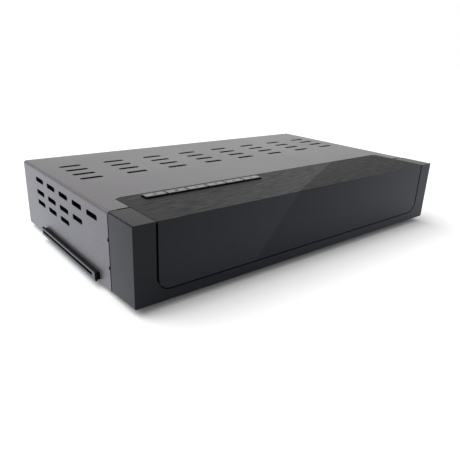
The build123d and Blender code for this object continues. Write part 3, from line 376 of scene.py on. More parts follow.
@dataclass(frozen=True)
class CoatedSheet(Grained):
    """Powder on folded sheet, with painted shade on the punched edges and the inner face.

    The skin of the folded box keeps its colour. What lies deeper than the skin, which is the cut
    edge of every slot and the inner face, is painted dark and dull as shade. The bends are left
    out of that.
    """

    left_mm: float = -113.85
    right_mm: float = 116.15
    roof_mm: float = 42.0
    rear_mm: float = 64.75
    skin_mm: float = 0.04
    bend_mm: float = 2.4
    painted_slot_shade_tone: str = "#070708"
    edge_roughness: float = 0.9

    def work(
        self, tree: bpy.types.NodeTree, shader: bpy.types.Node, place: bpy.types.NodeSocket
    ) -> None:
        """Add the grain of the skin, then the painted shade on the cut edges and inner face over
        it.

        Args:
            tree: The material's node tree.
            shader: The material's shader.
            place: Object coordinates.
        """
        super().work(tree, shader, place)
        axes = add_node(tree, "ShaderNodeSeparateXYZ", links={"Vector": place}).outputs
        found = {axis: axes[axis] for axis in ("X", "Y", "Z")}
        # Each row is one sum: depths under the four faces first, then what lies deep enough.
        for result, operation, values, sources in (
            ("left", "MULTIPLY_ADD", {1: 1.0, 2: -self.left_mm * MM}, ("X",)),
            ("right", "MULTIPLY_ADD", {1: -1.0, 2: self.right_mm * MM}, ("X",)),
            ("roof", "MULTIPLY_ADD", {1: -1.0, 2: self.roof_mm * MM}, ("Z",)),
            ("rear", "MULTIPLY_ADD", {1: -1.0, 2: self.rear_mm * MM}, ("Y",)),
            ("side", "MINIMUM", {}, ("left", "right")),
            ("depth", "MINIMUM", {}, ("side", "roof")),
            ("under both", "MAXIMUM", {}, ("side", "roof")),
            ("cut", "GREATER_THAN", {1: self.skin_mm * MM}, ("depth",)),
            ("off the bends", "GREATER_THAN", {1: self.bend_mm * MM}, ("under both",)),
            ("off the lip", "GREATER_THAN", {1: self.bend_mm * MM}, ("rear",)),
            ("flat sheet", "MULTIPLY", {}, ("off the bends", "off the lip")),
            ("dark", "MULTIPLY", {}, ("cut", "flat sheet")),
        ):
            node = add_node(
                tree,
                "ShaderNodeMath",
                settings={"operation": operation},
                values=values,
                links={number: found[source] for number, source in enumerate(sources)},
            )
            found[result] = node.outputs["Value"]
        # Painted shade: the slot walls and the inner face take a near-black, dull tone.
        self.cover(tree, shader, found["dark"], self.painted_slot_shade_tone, self.edge_roughness)


@dataclass(frozen=True)
class Faced(Grained):
    """A moulding whose outer face is polished by the tool and whose sides take a second tone, matt.

    On the keys and the card slot trim the dark sides are painted shade, and on the keys the light
    grey face is a painted sheen.
    """

    side: str = "#09090a"
    side_roughness: float = 0.75
    axis: Run = Run.Z
    face_mm: float = 0.0
    outward: float = 1.0
    blend_mm: float = 0.02

    def work(
        self, tree: bpy.types.NodeTree, shader: bpy.types.Node, place: bpy.types.NodeSocket
    ) -> None:
        """Add the grain, then part the face from the sides at its level.

        Args:
            tree: The material's node tree.
            shader: The material's shader.
            place: Object coordinates.
        """
        super().work(tree, shader, place)
        axes = add_node(tree, "ShaderNodeSeparateXYZ", links={"Vector": place}).outputs
        level = add_node(
            tree,
            "ShaderNodeMath",
            settings={"operation": "MULTIPLY_ADD"},
            values={1: self.outward, 2: -self.outward * self.face_mm * MM},
            links={0: axes[self.axis.value]},
        )
        side = add_node(
            tree,
            "ShaderNodeMapRange",
            values={"From Min": 0.0, "From Max": self.blend_mm * MM, "To Min": 1.0, "To Max": 0.0},
            links={"Value": level.outputs["Value"]},
        )
        # On the keys and the slot trim this side tone is painted shade.
        self.cover(tree, shader, side.outputs["Result"], self.side, self.side_roughness)


@dataclass(frozen=True)
class PaintedGlareLine:
    """A line across the fascia where a painted glare changes the tone, and how it fades on its
    left.
    """

    at_mm: float
    slope: float
    axis: Run
    start_mm: float
    fade_mm: float = 75.0
    blur_mm: float = 1.2

    def shares(
        self, tree: bpy.types.NodeTree, place: bpy.types.NodeSocket
    ) -> tuple[bpy.types.NodeSocket, bpy.types.NodeSocket]:
        """How far a point is past the line, and how near it is on the left of it.

        Args:
            tree: The material's node tree.
            place: Object coordinates.

        Returns:
            One beyond the line, and one at the line falling to zero far on its left.
        """
        axes = add_node(tree, "ShaderNodeSeparateXYZ", links={"Vector": place}).outputs
        run = add_node(
            tree,
            "ShaderNodeMath",
            settings={"operation": "MULTIPLY_ADD"},
            values={1: -self.slope, 2: (self.slope * self.start_mm - self.at_mm) * MM},
            links={0: axes[self.axis.value]},
        )
        offset = add_node(
            tree,
            "ShaderNodeMath",
            settings={"operation": "ADD"},
            links={0: axes["X"], 1: run.outputs["Value"]},
        )
        results = []
        for start, end in ((-self.blur_mm / 2, self.blur_mm / 2), (-self.fade_mm, 0.0)):
            ramp = add_node(
                tree,
                "ShaderNodeMapRange",
                values={"From Min": start * MM, "From Max": end * MM},
                links={"Value": offset.outputs["Value"]},
            )
            results.append(ramp.outputs["Result"])
        return results[0], results[1]


@dataclass(frozen=True)
class Brushed(Finish):
    """A surface drawn over abrasive, so that fine lines run along one axis."""

    second: str = "#000000"
    along: Run = Run.X
    line_mm: float = 0.35
    run_mm: float = 28.0
    line_depth_mm: float = 0.01
    gloss_swing: float = 0.08

    def work(
        self, tree: bpy.types.NodeTree, shader: bpy.types.Node, place: bpy.types.NodeSocket
    ) -> None:
        """Add the lines as tone, gloss and height.

        Args:
            tree: The material's node tree.
            shader: The material's shader.
            place: Object coordinates.
        """
        size = [self.line_mm] * 3
        size[self.along.value] = self.run_mm
        lines = self.marks(tree, place, tuple(size), detail=4.0)
        self.tone(tree, shader, lines, self.second)
        self.gloss(tree, shader, lines, -self.gloss_swing)
        self.relief(tree, shader, lines, self.line_depth_mm)


@dataclass(frozen=True)
class Plated(Finish):
    """Bare or plated metal with faint crystals and handling marks."""

    metallic: float = 1.0
    second: str = "#ffffff"
    crystal_mm: float = 3.0
    scuff_mm: float = 0.4
    gloss_swing: float = 0.1

    def work(
        self, tree: bpy.types.NodeTree, shader: bpy.types.Node, place: bpy.types.NodeSocket
    ) -> None:
        """Add the crystals as tone and the scuffs as gloss.

        Args:
            tree: The material's node tree.
            shader: The material's shader.
            place: Object coordinates.
        """
        crystals = add_node(
            tree,
            "ShaderNodeTexVoronoi",
            values={"Scale": per_mm(self.crystal_mm)},
            links={"Vector": place},
        )
        self.tone(tree, shader, crystals.outputs["Color"], self.second, span=(0.0, 1.0))
        scuffs = self.marks(tree, place, (self.scuff_mm,) * 3, detail=3.0)
        self.gloss(tree, shader, scuffs, self.gloss_swing)


@dataclass(frozen=True)
class SmokedGloss(Finish):
    """Clear hard gloss over a dark print, with a painted glare whose tones part on a slant.

    The tone grows lighter towards the line as a painted highlight, drops to its darkest tone beyond
    it, and holds a faint mottling under the gloss.
    """

    near: str = "#000000"
    beyond: str = "#000000"
    slant: PaintedGlareLine = PaintedGlareLine(0.0, 1.0, Run.Z, 0.0)
    mottle_mm: float = 6.0
    mottle_swing: float = 0.08

    def work(
        self, tree: bpy.types.NodeTree, shader: bpy.types.Node, place: bpy.types.NodeSocket
    ) -> None:
        """Add the tones of the painted glare and the mottling.

        Args:
            tree: The material's node tree.
            shader: The material's shader.
            place: Object coordinates.
        """
        past, close = self.slant.shares(tree, place)
        # Painted highlight: the tone grows lighter towards the slanted line and drops beyond it.
        left = add_node(
            tree,
            "ShaderNodeMix",
            settings={"data_type": "RGBA"},
            values={
                COLOUR_MIX.first: hex_to_linear(self.colour),
                COLOUR_MIX.second: hex_to_linear(self.near),
            },
            links={0: close},
        )
        printed = add_node(
            tree,
            "ShaderNodeMix",
            settings={"data_type": "RGBA"},
            values={COLOUR_MIX.second: hex_to_linear(self.beyond)},
            links={0: past, COLOUR_MIX.first: left.outputs[COLOUR_MIX.result]},
        )
        mottle = self.marks(tree, place, (self.mottle_mm,) * 3, detail=2.0)
        level = add_node(
            tree,
            "ShaderNodeMapRange",
            values={
                "From Min": MARK_SPAN[0],
                "From Max": MARK_SPAN[1],
                "To Min": 1.0 - self.mottle_swing,
                "To Max": 1.0 + self.mottle_swing,
            },
            links={"Value": mottle},
        )
        shaded = add_node(
            tree,
            "ShaderNodeHueSaturation",
            links={
                "Color": printed.outputs[COLOUR_MIX.result],
                "Value": level.outputs["Result"],
            },
        )
        tree.links.new(shaded.outputs["Color"], shader.inputs["Base Color"])


@dataclass(frozen=True)
class BrushedPaintedGlare(Brushed):
    """Brushed film under the same painted glare as the front panel."""

    far_level: float = 0.62
    painted_glare_level: float = 1.0
    beyond_level: float = 0.3
    slant: PaintedGlareLine = PaintedGlareLine(0.0, 1.0, Run.Y, 0.0)

    def work(
        self, tree: bpy.types.NodeTree, shader: bpy.types.Node, place: bpy.types.NodeSocket
    ) -> None:
        """Add the brushed lines, then shade them by the painted glare over them.

        Args:
            tree: The material's node tree.
            shader: The material's shader.
            place: Object coordinates.
        """
        super().work(tree, shader, place)
        past, close = self.slant.shares(tree, place)
        left = add_node(
            tree,
            "ShaderNodeMapRange",
            values={"To Min": self.far_level, "To Max": self.painted_glare_level},
            links={"Value": close},
        )
        # Painted glare: the lines are lightest at the slanted line and darkest beyond it.
        level = add_node(
            tree,
            "ShaderNodeMix",
            settings={"data_type": "FLOAT"},
            values={LEVEL_MIX.second: self.beyond_level},
            links={0: past, LEVEL_MIX.first: left.outputs["Result"]},
        )
        lines = shader.inputs["Base Color"].links[0].from_socket
        shaded = add_node(
            tree,
            "ShaderNodeHueSaturation",
            links={"Color": lines, "Value": level.outputs[LEVEL_MIX.result]},
        )
        tree.links.new(shaded.outputs["Color"], shader.inputs["Base Color"])


@dataclass(frozen=True)
class SolderMask(Finish):
    """Glass-fibre board under a lacquer, with copper tracks showing through as lighter runs."""

    track: str = "#3c8a55"
    pitch_mm: float = 2.54
    track_mm: float = 0.5
    track_pitches: float = 7.0
    track_rise_mm: float = 0.03

    def work(
        self, tree: bpy.types.NodeTree, shader: bpy.types.Node, place: bpy.types.NodeSocket
    ) -> None:
        """Add the tracks as tone and as a slight rise in the lacquer.

        Args:
            tree: The material's node tree.
            shader: The material's shader.
            place: Object coordinates.
        """
        scaled = add_node(
            tree,
            "ShaderNodeMapping",
            values={"Scale": [per_mm(self.pitch_mm)] * 3},
            links={"Vector": place},
        )
        runs = add_node(
            tree,
            "ShaderNodeTexBrick",
            values={
                "Scale": 1.0,
                "Mortar Size": self.track_mm / self.pitch_mm / 2,
                "Brick Width": self.track_pitches,
                "Row Height": 1.0,
            },
            links={"Vector": scaled.outputs["Vector"]},
        )
        self.tone(tree, shader, runs.outputs["Fac"], self.track, span=(0.0, 1.0))
        self.relief(tree, shader, runs.outputs["Fac"], self.track_rise_mm)


@dataclass(frozen=True)
class Ribbed(Finish):
    """Flat cable: a row of round jackets side by side along X, with painted shade in the grooves.
    """

    painted_groove_shade: str = "#6d6f72"
    pitch_mm: float = 1.27
    rib_mm: float = 0.2
    groove_top: float = 0.5
    groove_foot: float = 0.05

    def work(
        self, tree: bpy.types.NodeTree, shader: bpy.types.Node, place: bpy.types.NodeSocket
    ) -> None:
        """Add one rounded rib for each conductor.

        Args:
            tree: The material's node tree.
            shader: The material's shader.
            place: Object coordinates.
        """
        ribs = add_node(
            tree,
            "ShaderNodeTexWave",
            settings={"wave_type": "BANDS", "bands_direction": "X", "wave_profile": "SIN"},
            values={"Scale": per_mm(self.pitch_mm) * math.tau / WAVE_RADIANS},
            links={"Vector": place},
        )
        height = ribs.outputs["Fac"]
        # Painted shade: the grooves between the ribs take a darker tone.
        self.tone(tree, shader, height, self.painted_groove_shade, span=(self.groove_top, self.groove_foot))
        self.relief(tree, shader, height, self.rib_mm)


class Finishes:
    """Every finish on the receiver, named for its real material and how its surface was made."""

    # Polyester powder baked on folded sheet: satin, with a fine orange peel, painted shade in the
    # slots.
    powder_coat = CoatedSheet(
        "satin_powder_coat_on_steel",
        "#5a565a",
        0.45,
        specular=0.06,
        coat=1.0,
        coat_roughness=0.34,
        second="#4d4a4d",
        grain_mm=1.1,
        grain_depth_mm=0.012,
    )
    # Zinc-plated sheet steel: cool grey with small blurred crystals, no coat.
    zinc_sheet = Plated("zinc_plated_steel_sheet", "#8f9496", 0.42, second="#a3a7a8")
    # ABS moulded in a spark-eroded tool: fine even matt texture, low sheen.
    moulded_abs = Faced(
        "spark_textured_black_abs",
        "#08090b",
        0.25,
        specular=0.19,
        second="#050608",
        grain_mm=0.4,
        grain_depth_mm=0.004,
        side="#020203",
        axis=Run.Y,
        face_mm=-52.3,
        outward=-1.0,
    )
    # The trim round the card slot: a smooth outer face, its flanks painted dull black as shade.
    slot_trim_painted_flank_shade = Faced(
        "moulded_black_slot_trim",
        "#4a4d50",
        0.3,
        specular=0.2,
        second="#434649",
        side="#040405",
        axis=Run.X,
        face_mm=-116.1,
        outward=-1.0,
    )
    # The same ABS from a plain tool, as sockets and switch housings have: smooth, a soft shine.
    plain_abs = Grained(
        "plain_moulded_black_abs",
        "#1a1a1c",
        0.32,
        second="#161618",
        grain_mm=1.2,
        grain_depth_mm=0.004,
    )
    # Aluminised film brushed along its length under a dark lacquer: hairlines across the case,
    # under a painted glare along a slant.
    brushed_film = BrushedPaintedGlare(
        "brushed_black_lacquered_film_painted_glare",
        "#161617",
        0.5,
        specular=0.1,
        second="#535354",
        line_mm=0.7,
        run_mm=10.0,
        slant=PaintedGlareLine(at_mm=-16.4, slope=1.906, axis=Run.Y, start_mm=-74.25),
    )
    # Acrylic sheet printed dark on its back: deep gloss, with a painted glare along a slant.
    acrylic = SmokedGloss(
        "back_printed_smoked_acrylic_painted_glare",
        "#131619",
        0.13,
        ior=1.49,
        specular=0.18,
        near="#1e2327",
        beyond="#090b0e",
        slant=PaintedGlareLine(at_mm=-15.9, slope=0.89, axis=Run.Z, start_mm=42.0),
    )
    # Keys moulded in black ABS: the pressed face is smooth, its sheen painted as a light grey tone;
    # the flanks are matt and painted near black as shade.
    key_plastic_painted_sheen_and_shade = Faced(
        "moulded_black_key_plastic",
        "#767678",
        0.25,
        second="#6e6e70",
        side="#030304",
        side_roughness=0.3,
        axis=Run.Z,
        face_mm=42.6,
    )
    # Pad-printed ink on the keys: flat and a little uneven in cover.
    key_ink = Grained("pad_printed_dark_ink", "#1b1b1d", 0.55, second="#242427", grain_mm=0.2)
    # Pad-printed ink on the rocker: white, a little thin in places.
    mark_ink = Grained("pad_printed_white_ink", "#d8d8d4", 0.5, second="#c9c9c5", grain_mm=0.3)
    # Insulators moulded in polypropylene: a soft waxy gloss in the usual colours of the sockets.
    yellow_ring = Grained("yellow_moulded_polypropylene", "#e0b21c", 0.38, second="#d6a817")
    white_ring = Grained("white_moulded_polypropylene", "#dcdad4", 0.38, second="#d2d0ca")
    red_ring = Grained("red_moulded_polypropylene", "#b3241f", 0.38, second="#a6201b")
    orange_ring = Grained("orange_moulded_polypropylene", "#cf6418", 0.38, second="#c45c14")
    # Selective gold over nickel: warm and bright, with faint wiping marks.
    gold = Plated("gold_flashed_contacts", "#d2a24c", 0.25, second="#dcb05c", crystal_mm=0.8)
    # Moulded synthetic rubber: dull black with a dusty bloom.
    rubber = Grained(
        "moulded_black_rubber", "#161616", 0.75, second="#222222", grain_mm=0.8, grain_depth_mm=0.02
    )
    # Epoxy-glass board under green solder lacquer: deep green, paler over the copper tracks.
    board = SolderMask("green_lacquered_circuit_board", "#0e2b19", 0.35, track="#1a4427")
    # Epoxy housing of a display behind a dark filter: near black with an even low sheen.
    display = Grained("dark_display_epoxy", "#120f10", 0.25, second="#181415", grain_mm=2.0)
    # Cast epoxy that passes infrared only: near black with a violet cast.
    eye = Grained("infrared_filter_epoxy", "#140d16", 0.12, second="#1a1220", grain_mm=2.5)
    # Diffused red epoxy of a small lamp: an even cloudy red.
    lamp = Grained("diffused_red_epoxy", "#8e1712", 0.25, second="#a01d16", grain_mm=0.6)
    # Transfer-moulded epoxy of chips: charcoal grey, very fine matt.
    chip = Grained("matt_chip_epoxy", "#212224", 0.6, second="#2a2b2d", grain_mm=0.25)
    # Extruded aluminium left bare: pale grey with draw lines along the extrusion.
    aluminium = Brushed(
        "bare_extruded_aluminium", "#a9abad", 0.38, metallic=1.0, second="#c0c2c3", line_mm=0.3
    )
    # Shrunk plastic sleeve over an aluminium can: smooth dark blue with a soft shine.
    sleeve = Grained("shrunk_capacitor_sleeve", "#1c2330", 0.3, second="#202a3a", grain_mm=1.5)
    # Tinned steel, stamped: bright and slightly soft.
    tinplate = Plated("stamped_tinned_steel", "#aeb0b0", 0.3, second="#bdbfbf", crystal_mm=6.0)
    # Bright nickel on turned brass or steel: warm white metal with a lightly broken shine.
    nickel = Plated("turned_nickel_plate", "#b7b4ab", 0.24, second="#c4c1b8", crystal_mm=1.5)
    # Natural nylon: milky white and waxy.
    nylon = Grained("natural_white_nylon", "#d9d6cc", 0.42, second="#cfccc0", grain_mm=1.0)
    # Sintered ferrite with its winding tape: dark grey, chalky.
    ferrite = Grained("sintered_ferrite", "#2b2a2c", 0.7, second="#3a393b", grain_mm=0.7)
    # PVC-jacketed mains wire: smooth brown with a soft shine.
    brown_wire = Grained("brown_pvc_jacket", "#5b3822", 0.4, second="#523220", grain_mm=1.0)
    # Flat ribbon cable in PVC: pale grey ribs with painted shade in the grooves between them.
    ribbon = Ribbed("grey_ribbon_cable", "#9a9da0", 0.45)


def dress(node: str, finish: Finish) -> None:
    """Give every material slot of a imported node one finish.

    Args:
        node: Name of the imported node.
        finish: The finish that it gets.
    """
    mesh = bpy.data.objects[node].data
    material = finish.build()
    if not mesh.materials:
        mesh.materials.append(material)
    for index in range(len(mesh.materials)):
        mesh.materials[index] = material
    log.info("%s: %s", node, finish.name)


def clear_selection() -> None:
    """Leave edit mode and deselect every object."""
    if bpy.context.object and bpy.context.object.mode != "OBJECT":
        bpy.ops.object.mode_set(mode="OBJECT")
    bpy.ops.object.select_all(action="DESELECT")


class Bench:
    """The hand steps that every sub-assembly uses to shape and place a piece.

    Corners nearer than merge_mm become one. A cutting tool stands clear_mm out of its piece.
    """

    merge_mm: ClassVar[float] = 0.002
    clear_mm: ClassVar[float] = 1.0

    def block(
        self, name: str, low: tuple[float, float, float], high: tuple[float, float, float]
    ) -> bpy.types.Object:
        """Start a block between two corners.

        Args:
            name: Name of the piece.
            low: Lowest corner in millimetres.
            high: Highest corner in millimetres.

        Returns:
            The new piece, selected and active.
        """
        clear_selection()
        bpy.ops.mesh.primitive_cube_add(
            size=1.0,
            location=[(a + b) / 2 * MM for a, b in zip(low, high)],
            scale=[(b - a) * MM for a, b in zip(low, high)],
        )
        return self.placed(name)

    def rod(
        self,
        name: str,
        radius: float,
        centre: tuple[float, float],
        start: float,
        end: float,
        sides: int = 48,
    ) -> bpy.types.Object:
        """Start a round rod that runs back to front.

        Args:
            name: Name of the piece.
            radius: Its radius in millimetres.
            centre: X and Z of its axis.
            start: Y of its inner end.
            end: Y of its outer end.
            sides: Faces round it.

        Returns:
            The new piece, selected and active.
        """
        clear_selection()
        bpy.ops.mesh.primitive_cylinder_add(
            vertices=sides,
            radius=radius * MM,
            depth=(end - start) * MM,
            location=(centre[0] * MM, (start + end) / 2 * MM, centre[1] * MM),
            rotation=(math.pi / 2, 0.0, 0.0),
        )
        return self.placed(name)

    def disc(
        self, name: str, radius: float, centre: tuple[float, float, float], sides: int, turn: float
    ) -> bpy.types.Object:
        """Start a flat disc or triangle that faces up.

        Args:
            name: Name of the piece.
            radius: Its radius in millimetres.
            centre: Its centre in millimetres.
            sides: Corners round it.
            turn: Degrees that it is turned about Z.

        Returns:
            The new piece, selected and active.
        """
        clear_selection()
        bpy.ops.mesh.primitive_circle_add(
            vertices=sides,
            radius=radius * MM,
            fill_type="NGON",
            location=[c * MM for c in centre],
            rotation=(0.0, 0.0, math.radians(turn)),
        )
        return self.placed(name)

    def placed(self, name: str) -> bpy.types.Object:
        """Name the active piece and put its place into its mesh.

        Args:
            name: Name of the piece.

        Returns:
            The piece.
        """
        piece = bpy.context.object
        piece.name = name
        piece.data.name = name
        bpy.ops.object.transform_apply(location=True, rotation=True, scale=True)
        return piece

    def pick(self, piece: bpy.types.Object) -> None:
        """Select one piece alone and make it the active one.

        Args:
            piece: The piece.
        """
        clear_selection()
        piece.select_set(True)
        bpy.context.view_layer.objects.active = piece

    def open(self, piece: bpy.types.Object) -> None:
        """Pick one piece and enter edit mode with nothing selected in it.

        Args:
            piece: The piece.
        """
        self.pick(piece)
        bpy.ops.object.mode_set(mode="EDIT")
        bpy.ops.mesh.select_all(action="DESELECT")

    def faces(self, piece: bpy.types.Object, wanted: Callable[[Vector, Vector], bool]) -> None:
        """Select the faces whose centre in millimetres and normal pass a test.

        Args:
            piece: The piece in edit mode.
            wanted: The test.
        """
        bpy.ops.mesh.select_mode(type="FACE")
        bpy.ops.mesh.select_all(action="DESELECT")
        mesh = bmesh.from_edit_mesh(piece.data)
        for face in mesh.faces:
            face.select_set(wanted(face.calc_center_median() / MM, face.normal))
        bmesh.update_edit_mesh(piece.data)

    def edges(self, piece: bpy.types.Object, wanted: Callable[[Vector, Vector], bool]) -> None:
        """Select the edges whose two ends in millimetres pass a test.

        Args:
            piece: The piece in edit mode.
            wanted: The test.
        """
        bpy.ops.mesh.select_mode(type="EDGE")
        bpy.ops.mesh.select_all(action="DESELECT")
        mesh = bmesh.from_edit_mesh(piece.data)
        for edge in mesh.edges:
            edge.select_set(wanted(edge.verts[0].co / MM, edge.verts[1].co / MM))
        bmesh.update_edit_mesh(piece.data)

    def bevel(
        self,
        piece: bpy.types.Object,
        wanted: Callable[[Vector, Vector], bool],
        offset: float,
        segments: int,
    ) -> None:
        """Bevel the edges whose two ends pass a test.

        Args:
            piece: The piece in edit mode.
            wanted: The test, on the two ends in millimetres.
            offset: Width of the bevel in millimetres.
            segments: Faces across the bevel.
        """
        self.edges(piece, wanted)
        bpy.ops.mesh.bevel(offset=offset * MM, segments=segments)

    def pull(self, x: float = 0.0, y: float = 0.0, z: float = 0.0) -> None:
        """Extrude what is selected.

        Args:
            x: Step along X in millimetres.
            y: Step along Y in millimetres.
            z: Step along Z in millimetres.
        """
        bpy.ops.mesh.extrude_region_move(
            TRANSFORM_OT_translate={"value": (x * MM, y * MM, z * MM)}
        )

    def close(self, piece: bpy.types.Object) -> None:
        """Merge doubles, turn the faces outwards and leave edit mode.

        Args:
            piece: The piece, in edit mode or not.
        """
        if bpy.context.object.mode != "EDIT":
            self.open(piece)
        bpy.ops.mesh.select_all(action="SELECT")
        bpy.ops.mesh.remove_doubles(threshold=self.merge_mm * MM)
        bpy.ops.mesh.normals_make_consistent(inside=False)
        bpy.ops.object.mode_set(mode="OBJECT")

    def cut(self, piece: bpy.types.Object, tool: bpy.types.Object, operation: str) -> None:
        """Cut, join or trim a piece by another, which is used up.

        Args:
            piece: The piece that stays.
            tool: The piece that is used up.
            operation: DIFFERENCE, UNION or INTERSECT.
        """
        modifier = piece.modifiers.new("cut", "BOOLEAN")
        modifier.operation = operation
        modifier.solver = "EXACT"
        modifier.object = tool
        self.apply(piece, modifier.name)
        bpy.data.objects.remove(tool, do_unlink=True)

    def apply(self, piece: bpy.types.Object, modifier: str) -> None:
        """Apply one modifier of a piece.

        Args:
            piece: The piece.
            modifier: Name of the modifier.
        """
        self.pick(piece)
        bpy.ops.object.modifier_apply(modifier=modifier)

    def copy(
        self, piece: bpy.types.Object, name: str, step: tuple[float, float, float]
    ) -> bpy.types.Object:
        """Copy a piece with its own mesh.

        Args:
            piece: The piece to copy.
            name: Name of the copy.
            step: How far the copy is moved, in millimetres.

        Returns:
            The copy, selected and active.
        """
        twin = piece.copy()
        twin.data = piece.data.copy()
        twin.name = name
        twin.data.name = name
        bpy.context.collection.objects.link(twin)
        self.pick(twin)
        bpy.ops.transform.translate(value=[s * MM for s in step])
        bpy.ops.object.transform_apply(location=True, rotation=True, scale=True)
        return twin

    def join(self, pieces: list[bpy.types.Object], name: str) -> bpy.types.Object:
        """Join pieces into one piece.

        Args:
            pieces: The pieces, of which the first one takes in the others.
            name: Name of the joined piece.

        Returns:
            The joined piece.
        """
        clear_selection()
        for piece in pieces:
            piece.select_set(True)
        bpy.context.view_layer.objects.active = pieces[0]
        if len(pieces) > 1:
            bpy.ops.object.join()
        pieces[0].name = name
        pieces[0].data.name = name
        return pieces[0]

    def finish(
        self,
        piece: bpy.types.Object,
        finish: Finish,
        body: str,
        node: str = "",
        smooth: float = 35.0,
    ) -> None:
        """Smooth a piece, dress it and tie it to its body.

        Args:
            piece: The finished piece.
            finish: Its finish.
            body: The body that it moves with.
            node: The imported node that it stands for, if any.
            smooth: Edges flatter than this many degrees are smoothed.
        """
        self.pick(piece)
        bpy.ops.object.shade_smooth_by_angle(angle=math.radians(smooth))
        piece.data.materials.clear()
        piece.data.materials.append(finish.build())
        if node:
            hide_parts(node)
        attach(piece, body)
        log.info("%s: %d faces, %s", piece.name, len(piece.data.polygons), finish.name)


class Assembly(Bench):
    """A sub-assembly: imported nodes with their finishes, and worked pieces of its own."""

    def nodes(self) -> dict[str, Finish]:
        """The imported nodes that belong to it, each with its finish."""
        return {}

    def make(self) -> None:
        """Shape and dress its own pieces; the base class has none."""

    def build(self) -> None:
        """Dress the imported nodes, then make the pieces."""
        for node, finish in self.nodes().items():
            dress(node, finish)
        self.make()


@dataclass
class FrontPanel(Assembly):
    """Bezel, fascia and keys, with the mark printed in the hollow top of each key.

    The opening of the ring, the rounding of a bar and the rows of bars are counted in widths of
    the printed line, and the height of the standby bar in radii of the ring.
    """

    ink_mm: float = 0.05
    hollow_mm: float = 0.1
    ring_mm: float = 0.95
    ring_sides: int = 40
    opening_lines: float = 1.4
    bar_rings: float = 1.15
    line_mm: float = 0.3
    line_round: float = 0.3
    rows_apart: float = 2.0
    bar_mm: float = 1.9
    arrow_mm: float = 0.95
    arrow_sides: int = 3
    turns: dict[str, float] = field(
        default_factory=lambda: {"left": 90.0, "right": -90.0, "down": 180.0, "up": 0.0}
    )

    def nodes(self) -> dict[str, Finish]:
        """The mouldings, what lies behind the dark panel, and the six keys.

        Returns:
            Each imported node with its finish.
        """
        keys = {f"{key}_key": Finishes.key_plastic_painted_sheen_and_shade for key in ("standby", "menu", *self.turns)}
        return {
            "front_bezel": Finishes.moulded_abs,
            "fascia_top": Finishes.brushed_film,
            "fascia_front": Finishes.acrylic,
            "display_module": Finishes.display,
            "infrared_eye": Finishes.eye,
            "standby_lamp": Finishes.lamp,
            "front_screws": Finishes.nickel,
            **keys,
        }

    def make(self) -> None:
        """Print every key's mark."""
        self.standby()
        self.menu()
        for key, turn in self.turns.items():
            arrow = self.disc(
                f"{key}_key_mark", self.arrow_mm, self.top_of(key), self.arrow_sides, turn
            )
            self.thicken(arrow)
            self.finish(arrow, Finishes.key_ink, f"{key}_key")

    def top_of(self, key: str) -> tuple[float, float, float]:
        """Find the middle of the hollow in a key's top.

        Args:
            key: Name of the key.

        Returns:
            The place in millimetres.
        """
        low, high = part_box(f"{key}_key")
        return (
            (low[0] + high[0]) / 2 / MM,
            (low[1] + high[1]) / 2 / MM,
            high[2] / MM - self.hollow_mm,
        )

    def thicken(self, mark: bpy.types.Object) -> None:
        """Give a flat mark the thickness of its ink.

        Args:
            mark: The mark.
        """
        self.open(mark)
        bpy.ops.mesh.select_all(action="SELECT")
        self.pull(z=self.ink_mm)
        self.close(mark)

    def bar(
        self, name: str, low: tuple[float, float, float], high: tuple[float, float, float]
    ) -> bpy.types.Object:
        """Make a flat bar of ink with rounded corners.

        Args:
            name: Name of the bar.
            low: Lowest corner in millimetres.
            high: Highest corner in millimetres.

        Returns:
            The bar.
        """
        bar = self.block(name, low, high)
        self.open(bar)
        self.bevel(
            bar,
            lambda a, b: abs(a.z - b.z) > self.ink_mm / 2,
            self.line_mm * self.line_round,
            segments=3,
        )
        self.close(bar)
        return bar

    def standby(self) -> None:
        """Print a ring that is open at the top, with a bar in the opening."""
        x, y, z = self.top_of("standby")
        ring = self.disc("standby_ring", self.ring_mm, (x, y, z), self.ring_sides, 0.0)
        self.open(ring)
        bpy.ops.mesh.select_all(action="SELECT")
        bpy.ops.mesh.inset(thickness=self.line_mm * MM)
        bpy.ops.mesh.delete(type="FACE")
        opening = self.line_mm * self.opening_lines
        self.faces(ring, lambda c, n: c.y > y and abs(c.x - x) < opening)
        bpy.ops.mesh.delete(type="FACE")
        self.close(ring)
        self.thicken(ring)
        half = self.line_mm / 2
        top = y + self.ring_mm * self.bar_rings
        bar = self.bar("standby_bar", (x - half, y, z), (x + half, top, z + self.ink_mm))
        self.finish(self.join([ring, bar], "standby_key_mark"), Finishes.key_ink, "standby_key")

    def menu(self) -> None:
        """Print three bars, one above the other."""
        x, y, z = self.top_of("menu")
        half_run, half_line = self.bar_mm / 2, self.line_mm / 2
        bars = []
        for row in (-1, 0, 1):
            level = y + row * self.line_mm * self.rows_apart
            low = (x - half_run, level - half_line, z)
            high = (x + half_run, level + half_line, z + self.ink_mm)
            bars.append(self.bar(f"menu_bar_{row + 2}", low, high))
        self.finish(self.join(bars, "menu_key_mark"), Finishes.key_ink, "menu_key")


